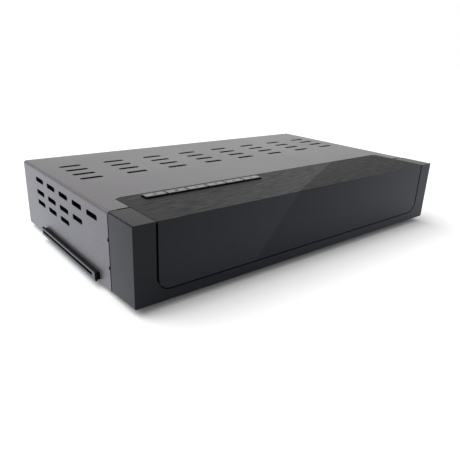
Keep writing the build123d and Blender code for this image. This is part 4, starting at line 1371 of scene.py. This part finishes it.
@dataclass
class Case(Assembly):
    """Cover, chassis, feet and card slot trim, with the screws that hold the cover.

    The screws are pan heads with a cross recess, in the rear lip of the cover.
    """

    screws_x: tuple[float, ...] = (-99.85, 1.15, 102.15)
    screws_z: float = 38.15
    seat_y: float = 64.75
    head_radius: float = 2.8
    head_height: float = 1.7
    head_round: float = 0.95
    shank_radius: float = 1.45
    shank_length: float = 4.5
    point_length: float = 0.9
    point_share: float = 0.35
    recess_reach: float = 1.5
    recess_width: float = 0.62
    recess_depth: float = 1.1
    recess_taper: float = 0.6

    def nodes(self) -> dict[str, Finish]:
        """The folded sheets, the trim of the card slot, the screws and the feet.

        Returns:
            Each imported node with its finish.
        """
        feet = ("front_left", "front_right", "rear_left", "rear_right")
        return {
            "top_cover": Finishes.powder_coat,
            "chassis": Finishes.zinc_sheet,
            "card_slot_frame": Finishes.slot_trim_painted_flank_shade,
            "cover_screws": Finishes.nickel,
            **{f"foot_{place}": Finishes.rubber for place in feet},
        }

    def make(self) -> None:
        """Shape one screw, copy it to the other holes and dress the set."""
        x, z = self.screws_x[0], self.screws_z
        top = self.seat_y + self.head_height
        screw = self.rod("screw_1", self.head_radius, (x, z), self.seat_y, top)
        self.open(screw)
        self.bevel(
            screw, lambda a, b: min(a.y, b.y) > top - NEAR, self.head_round, segments=6
        )
        self.faces(screw, lambda c, n: n.y < -FACING)
        bpy.ops.mesh.inset(thickness=(self.head_radius - self.shank_radius) * MM)
        self.pull(y=self.point_length - self.shank_length)
        self.pull(y=-self.point_length)
        bpy.ops.transform.resize(value=(self.point_share, 1.0, self.point_share))
        self.close(screw)
        long, thin = self.recess_reach, self.recess_width / 2
        for half_x, half_z in ((long, thin), (thin, long)):
            self.recess(screw, half_x, half_z)
        screws = [screw]
        for number, place in enumerate(self.screws_x[1:], start=2):
            screws.append(self.copy(screw, f"screw_{number}", (place - x, 0.0, 0.0)))
        self.finish(
            self.join(screws, "cover_screw_set"), Finishes.nickel, "case", "cover_screws"
        )

    def recess(self, screw: bpy.types.Object, half_x: float, half_z: float) -> None:
        """Cut one tapered slot of the cross into the first screw.

        Args:
            screw: The screw.
            half_x: Half the slot's size along X.
            half_z: Half its size along Z.
        """
        x, z = self.screws_x[0], self.screws_z
        top = self.seat_y + self.head_height
        tool = self.block(
            "recess",
            (x - half_x, top - self.recess_depth, z - half_z),
            (x + half_x, top + self.clear_mm, z + half_z),
        )
        self.open(tool)
        self.faces(tool, lambda c, n: n.y < -FACING)
        bpy.ops.transform.resize(
            value=(self.recess_taper, 1.0, self.recess_taper),
            center_override=(x * MM, 0.0, z * MM),
        )
        self.close(tool)
        self.cut(screw, tool, "DIFFERENCE")


@dataclass
class Aerials(Assembly):
    """Tuner can and the two aerial connectors, with their threaded barrels.

    The thread is wound past thread_y and tip_y, capped cap_turns beyond them and trimmed at the
    tip. The trim starts run_in before thread_y, and the neck ends overlap after it. A flank takes
    flank_share of the pitch. A corner nearer to a cap's plane than slice_mm counts as lying in it.
    """

    centres_x: tuple[float, float] = (-99.85, -81.85)
    centre_z: float = 18.8
    back_y: float = 62.75
    thread_y: float = 65.95
    tip_y: float = 74.25
    run_in: float = 0.6
    cap_turns: tuple[float, float] = (0.6, 0.5)
    overlap: float = 0.05
    crest: float = 4.7625
    root: float = 4.28
    neck: float = 4.5
    bore: float = 3.6
    bore_back: float = 63.75
    chamfer: float = 0.45
    pitch: float = 0.79
    flank_share: float = 0.38
    slice_mm: float = 0.0001
    steps: int = 36
    smooth: float = 25.0

    def nodes(self) -> dict[str, Finish]:
        """The can, the two connectors, their insulators and their nuts.

        Returns:
            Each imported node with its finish.
        """
        return {
            "tuner_can": Finishes.tinplate,
            "lnb_input": Finishes.nickel,
            "loop_output": Finishes.nickel,
            "aerial_insulators": Finishes.nylon,
            "aerial_nuts": Finishes.nickel,
        }

    def make(self) -> None:
        """Shape one barrel, copy it to the other place and dress both."""
        axis = (self.centres_x[0], self.centre_z)
        barrel = self.thread(*axis)
        trim = self.rod("trim", self.crest + NEAR, axis, self.thread_y - self.run_in, self.tip_y)
        self.open(trim)
        self.bevel(
            trim, lambda a, b: min(a.y, b.y) > self.tip_y - NEAR, self.chamfer, segments=1
        )
        self.close(trim)
        self.cut(barrel, trim, "INTERSECT")
        neck = self.rod("neck", self.neck, axis, self.back_y, self.thread_y + self.overlap)
        self.cut(barrel, neck, "UNION")
        bore = self.rod("bore", self.bore, axis, self.bore_back, self.tip_y + self.clear_mm)
        self.cut(barrel, bore, "DIFFERENCE")
        step = (self.centres_x[1] - self.centres_x[0], 0.0, 0.0)
        twin = self.copy(barrel, "loop_output_barrel", step)
        barrel.name = "lnb_input_barrel"
        self.finish(barrel, Finishes.nickel, "case", "lnb_input", self.smooth)
        self.finish(twin, Finishes.nickel, "case", "loop_output", self.smooth)

    def thread(self, x: float, z: float) -> bpy.types.Object:
        """Wind one tooth round the axis and cap both ends.

        Args:
            x: X of the axis.
            z: Z of the axis.

        Returns:
            A closed threaded rod, longer than the barrel at both ends.
        """
        clear_selection()
        bpy.ops.mesh.primitive_plane_add(size=MM, location=(x * MM, 0.0, z * MM))
        piece = bpy.context.object
        piece.name = "thread"
        self.open(piece)
        bpy.ops.mesh.select_mode(type="VERT")
        bpy.ops.mesh.select_all(action="SELECT")
        bpy.ops.mesh.merge(type="CENTER")
        start = self.thread_y - 2 * self.pitch
        bpy.ops.transform.translate(value=(self.root * MM, start * MM, 0.0))
        rise = self.crest - self.root
        flank = self.flank_share * self.pitch
        land = self.pitch / 2 - flank
        for out, along in ((rise, flank), (0.0, land), (-rise, flank), (0.0, land)):
            bpy.ops.mesh.extrude_vertices_move(
                TRANSFORM_OT_translate={"value": (out * MM, along * MM, 0.0)}
            )
        bpy.ops.object.mode_set(mode="OBJECT")
        winding = piece.modifiers.new("winding", "SCREW")
        winding.axis = "Y"
        winding.screw_offset = self.pitch * MM
        winding.iterations = math.ceil((self.tip_y - start) / self.pitch) + 2
        winding.steps = self.steps
        winding.render_steps = self.steps
        self.apply(piece, winding.name)
        bpy.ops.object.transform_apply(location=True, rotation=True, scale=True)
        self.open(piece)
        bpy.ops.mesh.select_all(action="SELECT")
        bpy.ops.mesh.remove_doubles(threshold=self.merge_mm * MM)
        # Both caps lie about half a turn outside the barrel's own ends.
        for level, inner in (
            (self.thread_y - self.cap_turns[0] * self.pitch, True),
            (self.tip_y + self.cap_turns[1] * self.pitch, False),
        ):
            bpy.ops.mesh.select_all(action="SELECT")
            bpy.ops.mesh.bisect(
                plane_co=(x * MM, level * MM, z * MM),
                plane_no=(0.0, 1.0, 0.0),
                use_fill=True,
                clear_inner=inner,
                clear_outer=not inner,
                threshold=self.slice_mm * MM,
            )
        self.close(piece)
        return piece


@dataclass
class PhonoSockets(Assembly):
    """The four phono sockets, with a coloured insulator ring in the mouth of each."""

    columns_x: tuple[float, float] = (-27.85, -14.85)
    rows_z: tuple[float, float] = (18.15, 30.15)
    seat_y: float = 70.55
    thickness: float = 0.9
    radius: float = 3.55
    hole: float = 1.75
    edge_round: float = 0.25
    rim_mm: float = 0.05

    def nodes(self) -> dict[str, Finish]:
        """The housing and its four barrels."""
        return {"rca_housing": Finishes.plain_abs, "rca_barrels": Finishes.nickel}

    def make(self) -> None:
        """Shape one ring, copy it to each socket and give each its colour."""
        x, z = self.columns_x[0], self.rows_z[0]
        mouth = self.seat_y + self.thickness
        ring = self.rod("rca_ring", self.radius, (x, z), self.seat_y, mouth)
        self.open(ring)
        self.faces(ring, lambda c, n: abs(n.y) > FACING)
        bpy.ops.mesh.inset(thickness=(self.radius - self.hole) * MM)
        bpy.ops.mesh.bridge_edge_loops()
        self.bevel(
            ring,
            lambda a, b: all(
                end.y > mouth - NEAR
                and math.hypot(end.x - x, end.z - z) > self.radius - self.rim_mm
                for end in (a, b)
            ),
            self.edge_round,
            segments=3,
        )
        self.close(ring)
        colours = (
            ("coaxial", 0, 0, Finishes.orange_ring),
            ("video", 0, 1, Finishes.yellow_ring),
            ("right", 1, 0, Finishes.red_ring),
            ("left", 1, 1, Finishes.white_ring),
        )
        for name, column, row, finish in colours:
            step = (self.columns_x[column] - x, 0.0, self.rows_z[row] - z)
            self.finish(self.copy(ring, f"rca_ring_{name}", step), finish, "case")
        bpy.data.objects.remove(ring, do_unlink=True)


@dataclass(frozen=True)
class Tongue:
    """Place and size of the plastic tongue in a port, and how many contact strips it carries."""

    port: str
    x: float
    z: float
    half: float
    thickness: float
    back: float
    front: float
    strips: int


@dataclass
class Ports(Assembly):
    """Network, USB, HDMI and SCART sockets, with the contacts that show in the first three.

    A strip takes strip_share of its pitch, and a tongue is strip_edge pitches wider than the
    pitches of its strips.
    """

    tongues: tuple[Tongue, ...] = (
        Tongue(
            "usb",
            x=-62.35,
            z=14.625,
            half=5.53,
            thickness=1.86,
            back=52.6,
            front=64.58,
            strips=4,
        ),
        Tongue(
            "hdmi",
            x=-44.25,
            z=13.5,
            half=5.33,
            thickness=1.16,
            back=54.6,
            front=63.6,
            strips=9,
        ),
    )
    tongue_round: float = 0.2
    strip_skin: float = 0.03
    strip_share: float = 0.45
    strip_edge: float = 0.5
    strip_stop: float = 1.0
    strip_round: float = 0.04
    wires: int = 8
    wires_x: float = -62.35
    wire_back: float = 52.6
    wire_front: float = 61.5
    wire_pitch: float = 1.02
    wire_mm: float = 0.42
    wire_high: float = 27.3
    wire_drop: float = 2.3
    wire_nose: float = 1.2
    wire_rise: float = 0.5
    wire_round: float = 0.1

    def nodes(self) -> dict[str, Finish]:
        """The four sockets.

        Returns:
            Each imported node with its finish.
        """
        return {
            "network_socket": Finishes.tinplate,
            "usb_socket": Finishes.tinplate,
            "hdmi_socket": Finishes.tinplate,
            "scart_socket": Finishes.plain_abs,
        }

    def make(self) -> None:
        """Shape the network wires, then each tongue and its strips."""
        self.network_wires()
        for tongue in self.tongues:
            self.tongue(tongue)
            self.strips(tongue)

    def network_wires(self) -> None:
        """Make the sprung wires that slope down from the roof of the network port."""
        half = self.wire_mm / 2
        x = self.wires_x - (self.wires - 1) / 2 * self.wire_pitch
        bend = self.wire_front - self.wire_nose
        wire = self.block(
            "network_wire",
            (x - half, self.wire_back, self.wire_high - self.wire_mm),
            (x + half, bend, self.wire_high),
        )
        self.open(wire)
        self.faces(wire, lambda c, n: n.y > FACING)
        bpy.ops.transform.translate(value=(0.0, 0.0, -self.wire_drop * MM))
        self.faces(wire, lambda c, n: c.y > bend - NEAR)
        self.pull(y=self.wire_nose, z=self.wire_rise)
        self.bevel(wire, lambda a, b: abs(a.y - b.y) > LONG, self.wire_round, segments=2)
        self.close(wire)
        row = [wire]
        for number in range(1, self.wires):
            row.append(self.copy(wire, f"wire_{number}", (number * self.wire_pitch, 0.0, 0.0)))
        self.finish(self.join(row, "network_contacts"), Finishes.gold, "case")

    def tongue(self, t: Tongue) -> None:
        """Shape the plastic tongue of a port, round at its tip.

        Args:
            t: The tongue's place and size.
        """
        low, high = t.z - t.thickness / 2, t.z + t.thickness / 2
        body = self.block(
            f"{t.port}_tongue", (t.x - t.half, t.back, low), (t.x + t.half, t.front, high)
        )
        self.open(body)
        self.bevel(
            body, lambda a, b: min(a.y, b.y) > t.front - NEAR, self.tongue_round, segments=3
        )
        self.close(body)
        self.finish(body, Finishes.plain_abs, "case")

    def strips(self, t: Tongue) -> None:
        """Let the gold strips into the underside of a port's tongue.

        Args:
            t: The tongue's place and size.
        """
        low = t.z - t.thickness / 2
        pitch = 2 * t.half / (t.strips + self.strip_edge)
        half = pitch * self.strip_share / 2
        first = t.x - pitch * (t.strips - 1) / 2
        strip = self.block(
            f"{t.port}_strip",
            (first - half, t.back, low - 2 * self.strip_skin),
            (first + half, t.front - self.strip_stop, low + self.strip_skin),
        )
        self.open(strip)
        self.bevel(
            strip,
            lambda a, b: max(a.z, b.z) < low and abs(a.y - b.y) > LONG,
            self.strip_round,
            segments=2,
        )
        self.close(strip)
        row = [strip]
        for number in range(1, t.strips):
            row.append(self.copy(strip, f"strip_{number}", (number * pitch, 0.0, 0.0)))
        self.finish(self.join(row, f"{t.port}_contacts"), Finishes.gold, "case")


@dataclass
class MainsEntry(Assembly):
    """Mains inlet and rear switch, with the pins and the on and off marks."""

    inlet_x: float = 83.15
    pin_pitch: float = 8.6
    pin_z: float = 20.8
    pin_radius: float = 1.23
    pin_back: float = 53.45
    pin_tip: float = 62.5
    pin_round: float = 0.8
    pin_sides: int = 32
    rocker_x: float = 105.65
    on_z: float = 24.8
    off_z: float = 16.8
    mark_line: float = 0.55
    on_height: float = 2.8
    on_cells: tuple[int, int] = (3, 12)
    off_radius: float = 1.4
    off_sides: int = 40
    mark_y: float = 69.5
    ink_mm: float = 0.04

    def nodes(self) -> dict[str, Finish]:
        """The inlet, the switch with its rocker, the wires and the fuse.

        Returns:
            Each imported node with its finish.
        """
        return {
            "mains_inlet": Finishes.plain_abs,
            "power_switch": Finishes.plain_abs,
            "power_rocker": Finishes.plain_abs,
            "mains_wires": Finishes.brown_wire,
            "mains_fuse": Finishes.nylon,
        }

    def make(self) -> None:
        """Shape the two pins and the two marks."""
        pins = []
        for side in (-1, 1):
            centre = (self.inlet_x + side * self.pin_pitch / 2, self.pin_z)
            pin = self.rod(
                "pin", self.pin_radius, centre, self.pin_back, self.pin_tip, self.pin_sides
            )
            self.open(pin)
            self.bevel(
                pin, lambda a, b: min(a.y, b.y) > self.pin_tip - NEAR, self.pin_round, segments=5
            )
            self.close(pin)
            pins.append(pin)
        self.finish(self.join(pins, "mains_inlet_pins"), Finishes.nickel, "case")
        self.on_mark()
        self.off_mark()

    def lay_on_rocker(self, mark: bpy.types.Object) -> None:
        """Press a flat mark onto the face of the rocker and give it the thickness of ink.

        Args:
            mark: The mark.
        """
        press = mark.modifiers.new("press", "SHRINKWRAP")
        press.target = bpy.data.objects["power_rocker"]
        press.wrap_method = "PROJECT"
        press.use_project_x = False
        press.use_project_y = True
        press.use_project_z = False
        press.use_negative_direction = True
        press.use_positive_direction = True
        press.offset = self.ink_mm * MM
        self.apply(mark, press.name)
        self.open(mark)
        self.close(mark)
        ink = mark.modifiers.new("ink", "SOLIDIFY")
        ink.thickness = 2 * self.ink_mm * MM
        ink.offset = 0.0
        self.apply(mark, ink.name)
        self.finish(mark, Finishes.mark_ink, "power_rocker")

    def on_mark(self) -> None:
        """Print an upright bar for on."""
        clear_selection()
        middle = (self.rocker_x * MM, self.mark_y * MM, self.on_z * MM)
        bpy.ops.mesh.primitive_grid_add(
            x_subdivisions=self.on_cells[0],
            y_subdivisions=self.on_cells[1],
            size=MM,
            location=middle,
            rotation=(math.pi / 2, 0.0, 0.0),
        )
        bar = self.placed("rocker_on_mark")
        self.open(bar)
        bpy.ops.mesh.select_all(action="SELECT")
        bpy.ops.transform.resize(
            value=(self.mark_line, 1.0, self.on_height), center_override=middle
        )
        self.close(bar)
        self.lay_on_rocker(bar)

    def off_mark(self) -> None:
        """Print a ring for off."""
        clear_selection()
        bpy.ops.mesh.primitive_circle_add(
            vertices=self.off_sides,
            radius=self.off_radius * MM,
            fill_type="NGON",
            location=(self.rocker_x * MM, self.mark_y * MM, self.off_z * MM),
            rotation=(math.pi / 2, 0.0, 0.0),
        )
        ring = self.placed("rocker_off_mark")
        self.open(ring)
        bpy.ops.mesh.select_all(action="SELECT")
        bpy.ops.mesh.inset(thickness=self.mark_line * MM)
        bpy.ops.mesh.delete(type="FACE")
        self.close(ring)
        self.lay_on_rocker(ring)


class SignalBoards(Assembly):
    """The key, display and main boards with what is soldered or plugged to them."""

    def nodes(self) -> dict[str, Finish]:
        """The boards, their parts and the leads between them.

        Returns:
            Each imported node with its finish.
        """
        return {
            "key_board": Finishes.board,
            "display_board": Finishes.board,
            "main_board": Finishes.board,
            "tact_switches": Finishes.tinplate,
            "main_chips": Finishes.chip,
            "heat_sink": Finishes.aluminium,
            "board_capacitors": Finishes.sleeve,
            "board_screws": Finishes.nickel,
            "ribbon_cable": Finishes.ribbon,
            "dc_lead": Finishes.ribbon,
            "lead_headers": Finishes.nylon,
            "card_reader": Finishes.plain_abs,
        }


class PowerSupply(Assembly):
    """The supply board with its transformer, capacitors and cooling."""

    def nodes(self) -> dict[str, Finish]:
        """The board and its parts.

        Returns:
            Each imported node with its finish.
        """
        return {
            "supply_board": Finishes.board,
            "transformer": Finishes.ferrite,
            "bulk_capacitor": Finishes.sleeve,
            "output_capacitors": Finishes.sleeve,
            "supply_heat_sink": Finishes.aluminium,
            "switching_transistor": Finishes.chip,
            "line_filter": Finishes.ferrite,
        }


@dataclass
class Studio:
    """Floor, room light, lamp and camera around the receiver.

    The wall's light fades from its middle out to wall_edge, the cosine of an angle, and the
    ceiling darkens from ceiling_start to ceiling_end, the sines of two heights.
    """

    camera_place: tuple[float, float, float] = (-0.19545, -0.23322, 0.10860)
    camera_forward: tuple[float, float, float] = (0.59915, 0.71751, -0.35524)
    camera_up: tuple[float, float, float] = (0.19607, 0.29869, 0.93399)
    camera_lens: float = 36.561
    camera_sensor: float = 36.0
    camera_reach: tuple[float, float] = (0.01, 50.0)
    floor_half: float = 6.0
    floor_glow: float = 0.34
    floor_tone: str = "#f4f4f4"
    painted_shadow_reach_mm: float = 12.0
    floor_samples: int = 16
    gloss_cast: tuple[float, float, float, float] = (0.82, 0.94, 1.25, 1.0)
    room_light: float = 0.28
    wall_azimuth: float = 52.0
    wall_edge: float = 0.75
    ceiling_start: float = 0.6
    ceiling_end: float = 0.95
    lamp_place: tuple[float, float, float] = (-0.9, 1.0, 1.9)
    lamp_strength: float = 2.7
    lamp_spread: float = 60.0
    dim_side: float = 0.45
    dim_ceiling: float = 0.4

    def build(self) -> None:
        """Set the camera, the floor, the room light and the lamp."""
        self.set_camera()
        self.lay_floor()
        self.light_room()
        self.hang_lamp()

    def set_camera(self) -> None:
        """Place the camera at the wanted view."""
        clear_selection()
        bpy.ops.object.camera_add(location=self.camera_place)
        camera = bpy.context.object
        camera.name = "camera_three_quarter"
        forward = Vector(self.camera_forward).normalized()
        right = forward.cross(Vector(self.camera_up)).normalized()
        up = right.cross(forward)
        turn = Matrix((right, up, -forward)).transposed().to_4x4()
        camera.matrix_world = Matrix.Translation(self.camera_place) @ turn
        camera.data.lens = self.camera_lens
        camera.data.sensor_width = self.camera_sensor
        camera.data.clip_start, camera.data.clip_end = self.camera_reach
        bpy.context.scene.camera = camera

    def shown_rays(self, tree: bpy.types.NodeTree) -> bpy.types.NodeSocket:
        """Pick the rays that show the background: seen directly, in gloss or through glass.

        Args:
            tree: The node tree that gets the nodes.

        Returns:
            One for those rays, else zero.
        """
        path = add_node(tree, "ShaderNodeLightPath")
        gloss = add_node(
            tree,
            "ShaderNodeMath",
            settings={"operation": "MAXIMUM"},
            links={0: path.outputs["Is Camera Ray"], 1: path.outputs["Is Glossy Ray"]},
        )
        every = add_node(
            tree,
            "ShaderNodeMath",
            settings={"operation": "MAXIMUM"},
            links={0: gloss.outputs["Value"], 1: path.outputs["Is Transmission Ray"]},
        )
        return every.outputs["Value"]

    def lay_floor(self) -> None:
        """Lay a pale floor that glows a little where it is seen and keeps its shadow; near the
        receiver the glow fades by ambient occlusion, a painted contact shadow.
        """
        clear_selection()
        bpy.ops.mesh.primitive_plane_add(size=2 * self.floor_half)
        floor = bpy.context.object
        floor.name = "studio_floor"
        material = bpy.data.materials.new("studio_floor_paper")
        material.use_nodes = True
        tree = material.node_tree
        tree.nodes.clear()
        paper = add_node(
            tree, "ShaderNodeBsdfDiffuse", values={"Color": hex_to_linear(self.floor_tone)}
        )
        # Painted contact shadow: the glow fades by ambient occlusion close to the receiver, except
        # in gloss.
        painted_contact_shadow = add_node(
            tree,
            "ShaderNodeAmbientOcclusion",
            settings={"samples": self.floor_samples},
            values={"Distance": self.painted_shadow_reach_mm * MM},
        )
        path = add_node(tree, "ShaderNodeLightPath")
        glow_outside_painted_shadow = add_node(
            tree,
            "ShaderNodeMath",
            settings={"operation": "MAXIMUM"},
            links={0: painted_contact_shadow.outputs["AO"], 1: path.outputs["Is Glossy Ray"]},
        )
        level = add_node(
            tree,
            "ShaderNodeMath",
            settings={"operation": "MULTIPLY"},
            values={1: self.floor_glow},
            links={0: self.shown_rays(tree)},
        )
        strength = add_node(
            tree,
            "ShaderNodeMath",
            settings={"operation": "MULTIPLY"},
            links={0: level.outputs["Value"], 1: glow_outside_painted_shadow.outputs["Value"]},
        )
        cast = add_node(
            tree,
            "ShaderNodeMix",
            settings={"data_type": "RGBA"},
            values={COLOUR_MIX.first: WHITE, COLOUR_MIX.second: self.gloss_cast},
            links={0: path.outputs["Is Glossy Ray"]},
        )
        glow = add_node(
            tree,
            "ShaderNodeEmission",
            links={
                "Color": cast.outputs[COLOUR_MIX.result],
                "Strength": strength.outputs["Value"],
            },
        )
        both = add_node(
            tree,
            "ShaderNodeAddShader",
            links={0: paper.outputs["BSDF"], 1: glow.outputs["Emission"]},
        )
        add_node(tree, "ShaderNodeOutputMaterial", links={"Surface": both.outputs["Shader"]})
        floor.data.materials.append(material)

    def light_room(self) -> None:
        """Light the room evenly, show it white, and let gloss see its lit back wall."""
        world = bpy.data.worlds.new("studio_room")
        bpy.context.scene.world = world
        world.use_nodes = True
        tree = world.node_tree
        tree.nodes.clear()
        path = add_node(tree, "ShaderNodeLightPath")
        white = add_node(
            tree,
            "ShaderNodeMath",
            settings={"operation": "MAXIMUM"},
            links={0: path.outputs["Is Camera Ray"], 1: path.outputs["Is Transmission Ray"]},
        )
        gloss = add_node(
            tree,
            "ShaderNodeMix",
            settings={"data_type": "FLOAT"},
            values={LEVEL_MIX.first: self.room_light},
            links={
                0: path.outputs["Is Glossy Ray"],
                LEVEL_MIX.second: self.wall_light(tree),
            },
        )
        strength = add_node(
            tree,
            "ShaderNodeMix",
            settings={"data_type": "FLOAT"},
            values={LEVEL_MIX.second: 1.0},
            links={
                0: white.outputs["Value"],
                LEVEL_MIX.first: gloss.outputs[LEVEL_MIX.result],
            },
        )
        background = add_node(
            tree,
            "ShaderNodeBackground",
            values={"Color": WHITE},
            links={"Strength": strength.outputs[LEVEL_MIX.result]},
        )
        add_node(
            tree,
            "ShaderNodeOutputWorld",
            links={"Surface": background.outputs["Background"]},
        )

    def wall_light(self, tree: bpy.types.NodeTree) -> bpy.types.NodeSocket:
        """Brightness of the room by direction: a white wall behind, darker above and in front.

        Args:
            tree: The world's node tree.

        Returns:
            The brightness, one at the wall.
        """
        place = add_node(tree, "ShaderNodeTexCoord").outputs["Generated"]
        angle = math.radians(self.wall_azimuth)
        towards = add_node(
            tree,
            "ShaderNodeVectorMath",
            settings={"operation": "DOT_PRODUCT"},
            values={1: (math.cos(angle), math.sin(angle), 0.0)},
            links={0: place},
        )
        wall = add_node(
            tree,
            "ShaderNodeMapRange",
            values={"From Min": self.wall_edge, "To Min": self.dim_side},
            links={"Value": towards.outputs["Value"]},
        )
        height = add_node(tree, "ShaderNodeSeparateXYZ", links={"Vector": place})
        ceiling = add_node(
            tree,
            "ShaderNodeMapRange",
            settings={"interpolation_type": "SMOOTHSTEP"},
            values={
                "From Min": self.ceiling_start,
                "From Max": self.ceiling_end,
                "To Min": 1.0,
                "To Max": self.dim_ceiling,
            },
            links={"Value": height.outputs["Z"]},
        )
        both = add_node(
            tree,
            "ShaderNodeMath",
            settings={"operation": "MULTIPLY"},
            links={0: wall.outputs["Result"], 1: ceiling.outputs["Result"]},
        )
        return both.outputs["Value"]

    def hang_lamp(self) -> None:
        """Hang one very wide soft light over the back left, even over the whole floor."""
        clear_selection()
        bpy.ops.object.light_add(type="SUN", location=self.lamp_place)
        lamp = bpy.context.object
        lamp.name = "wide_soft_light"
        lamp.data.energy = self.lamp_strength
        lamp.data.angle = math.radians(self.lamp_spread)
        facing = -Vector(self.lamp_place)
        lamp.rotation_euler = facing.to_track_quat("-Z", "Y").to_euler()


def main() -> None:
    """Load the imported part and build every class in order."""
    logging.basicConfig(level=logging.INFO, format="%(name)s %(message)s")
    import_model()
    bpy.context.scene.view_settings.view_transform = "Standard"
    assemblies: tuple[Assembly, ...] = (
        FrontPanel(),
        Case(),
        Aerials(),
        PhonoSockets(),
        Ports(),
        MainsEntry(),
        SignalBoards(),
        PowerSupply(),
    )
    for assembly in assemblies:
        log.info("building %s", type(assembly).__name__)
        assembly.build()
    Studio().build()


if __name__ == "__main__":
    main()
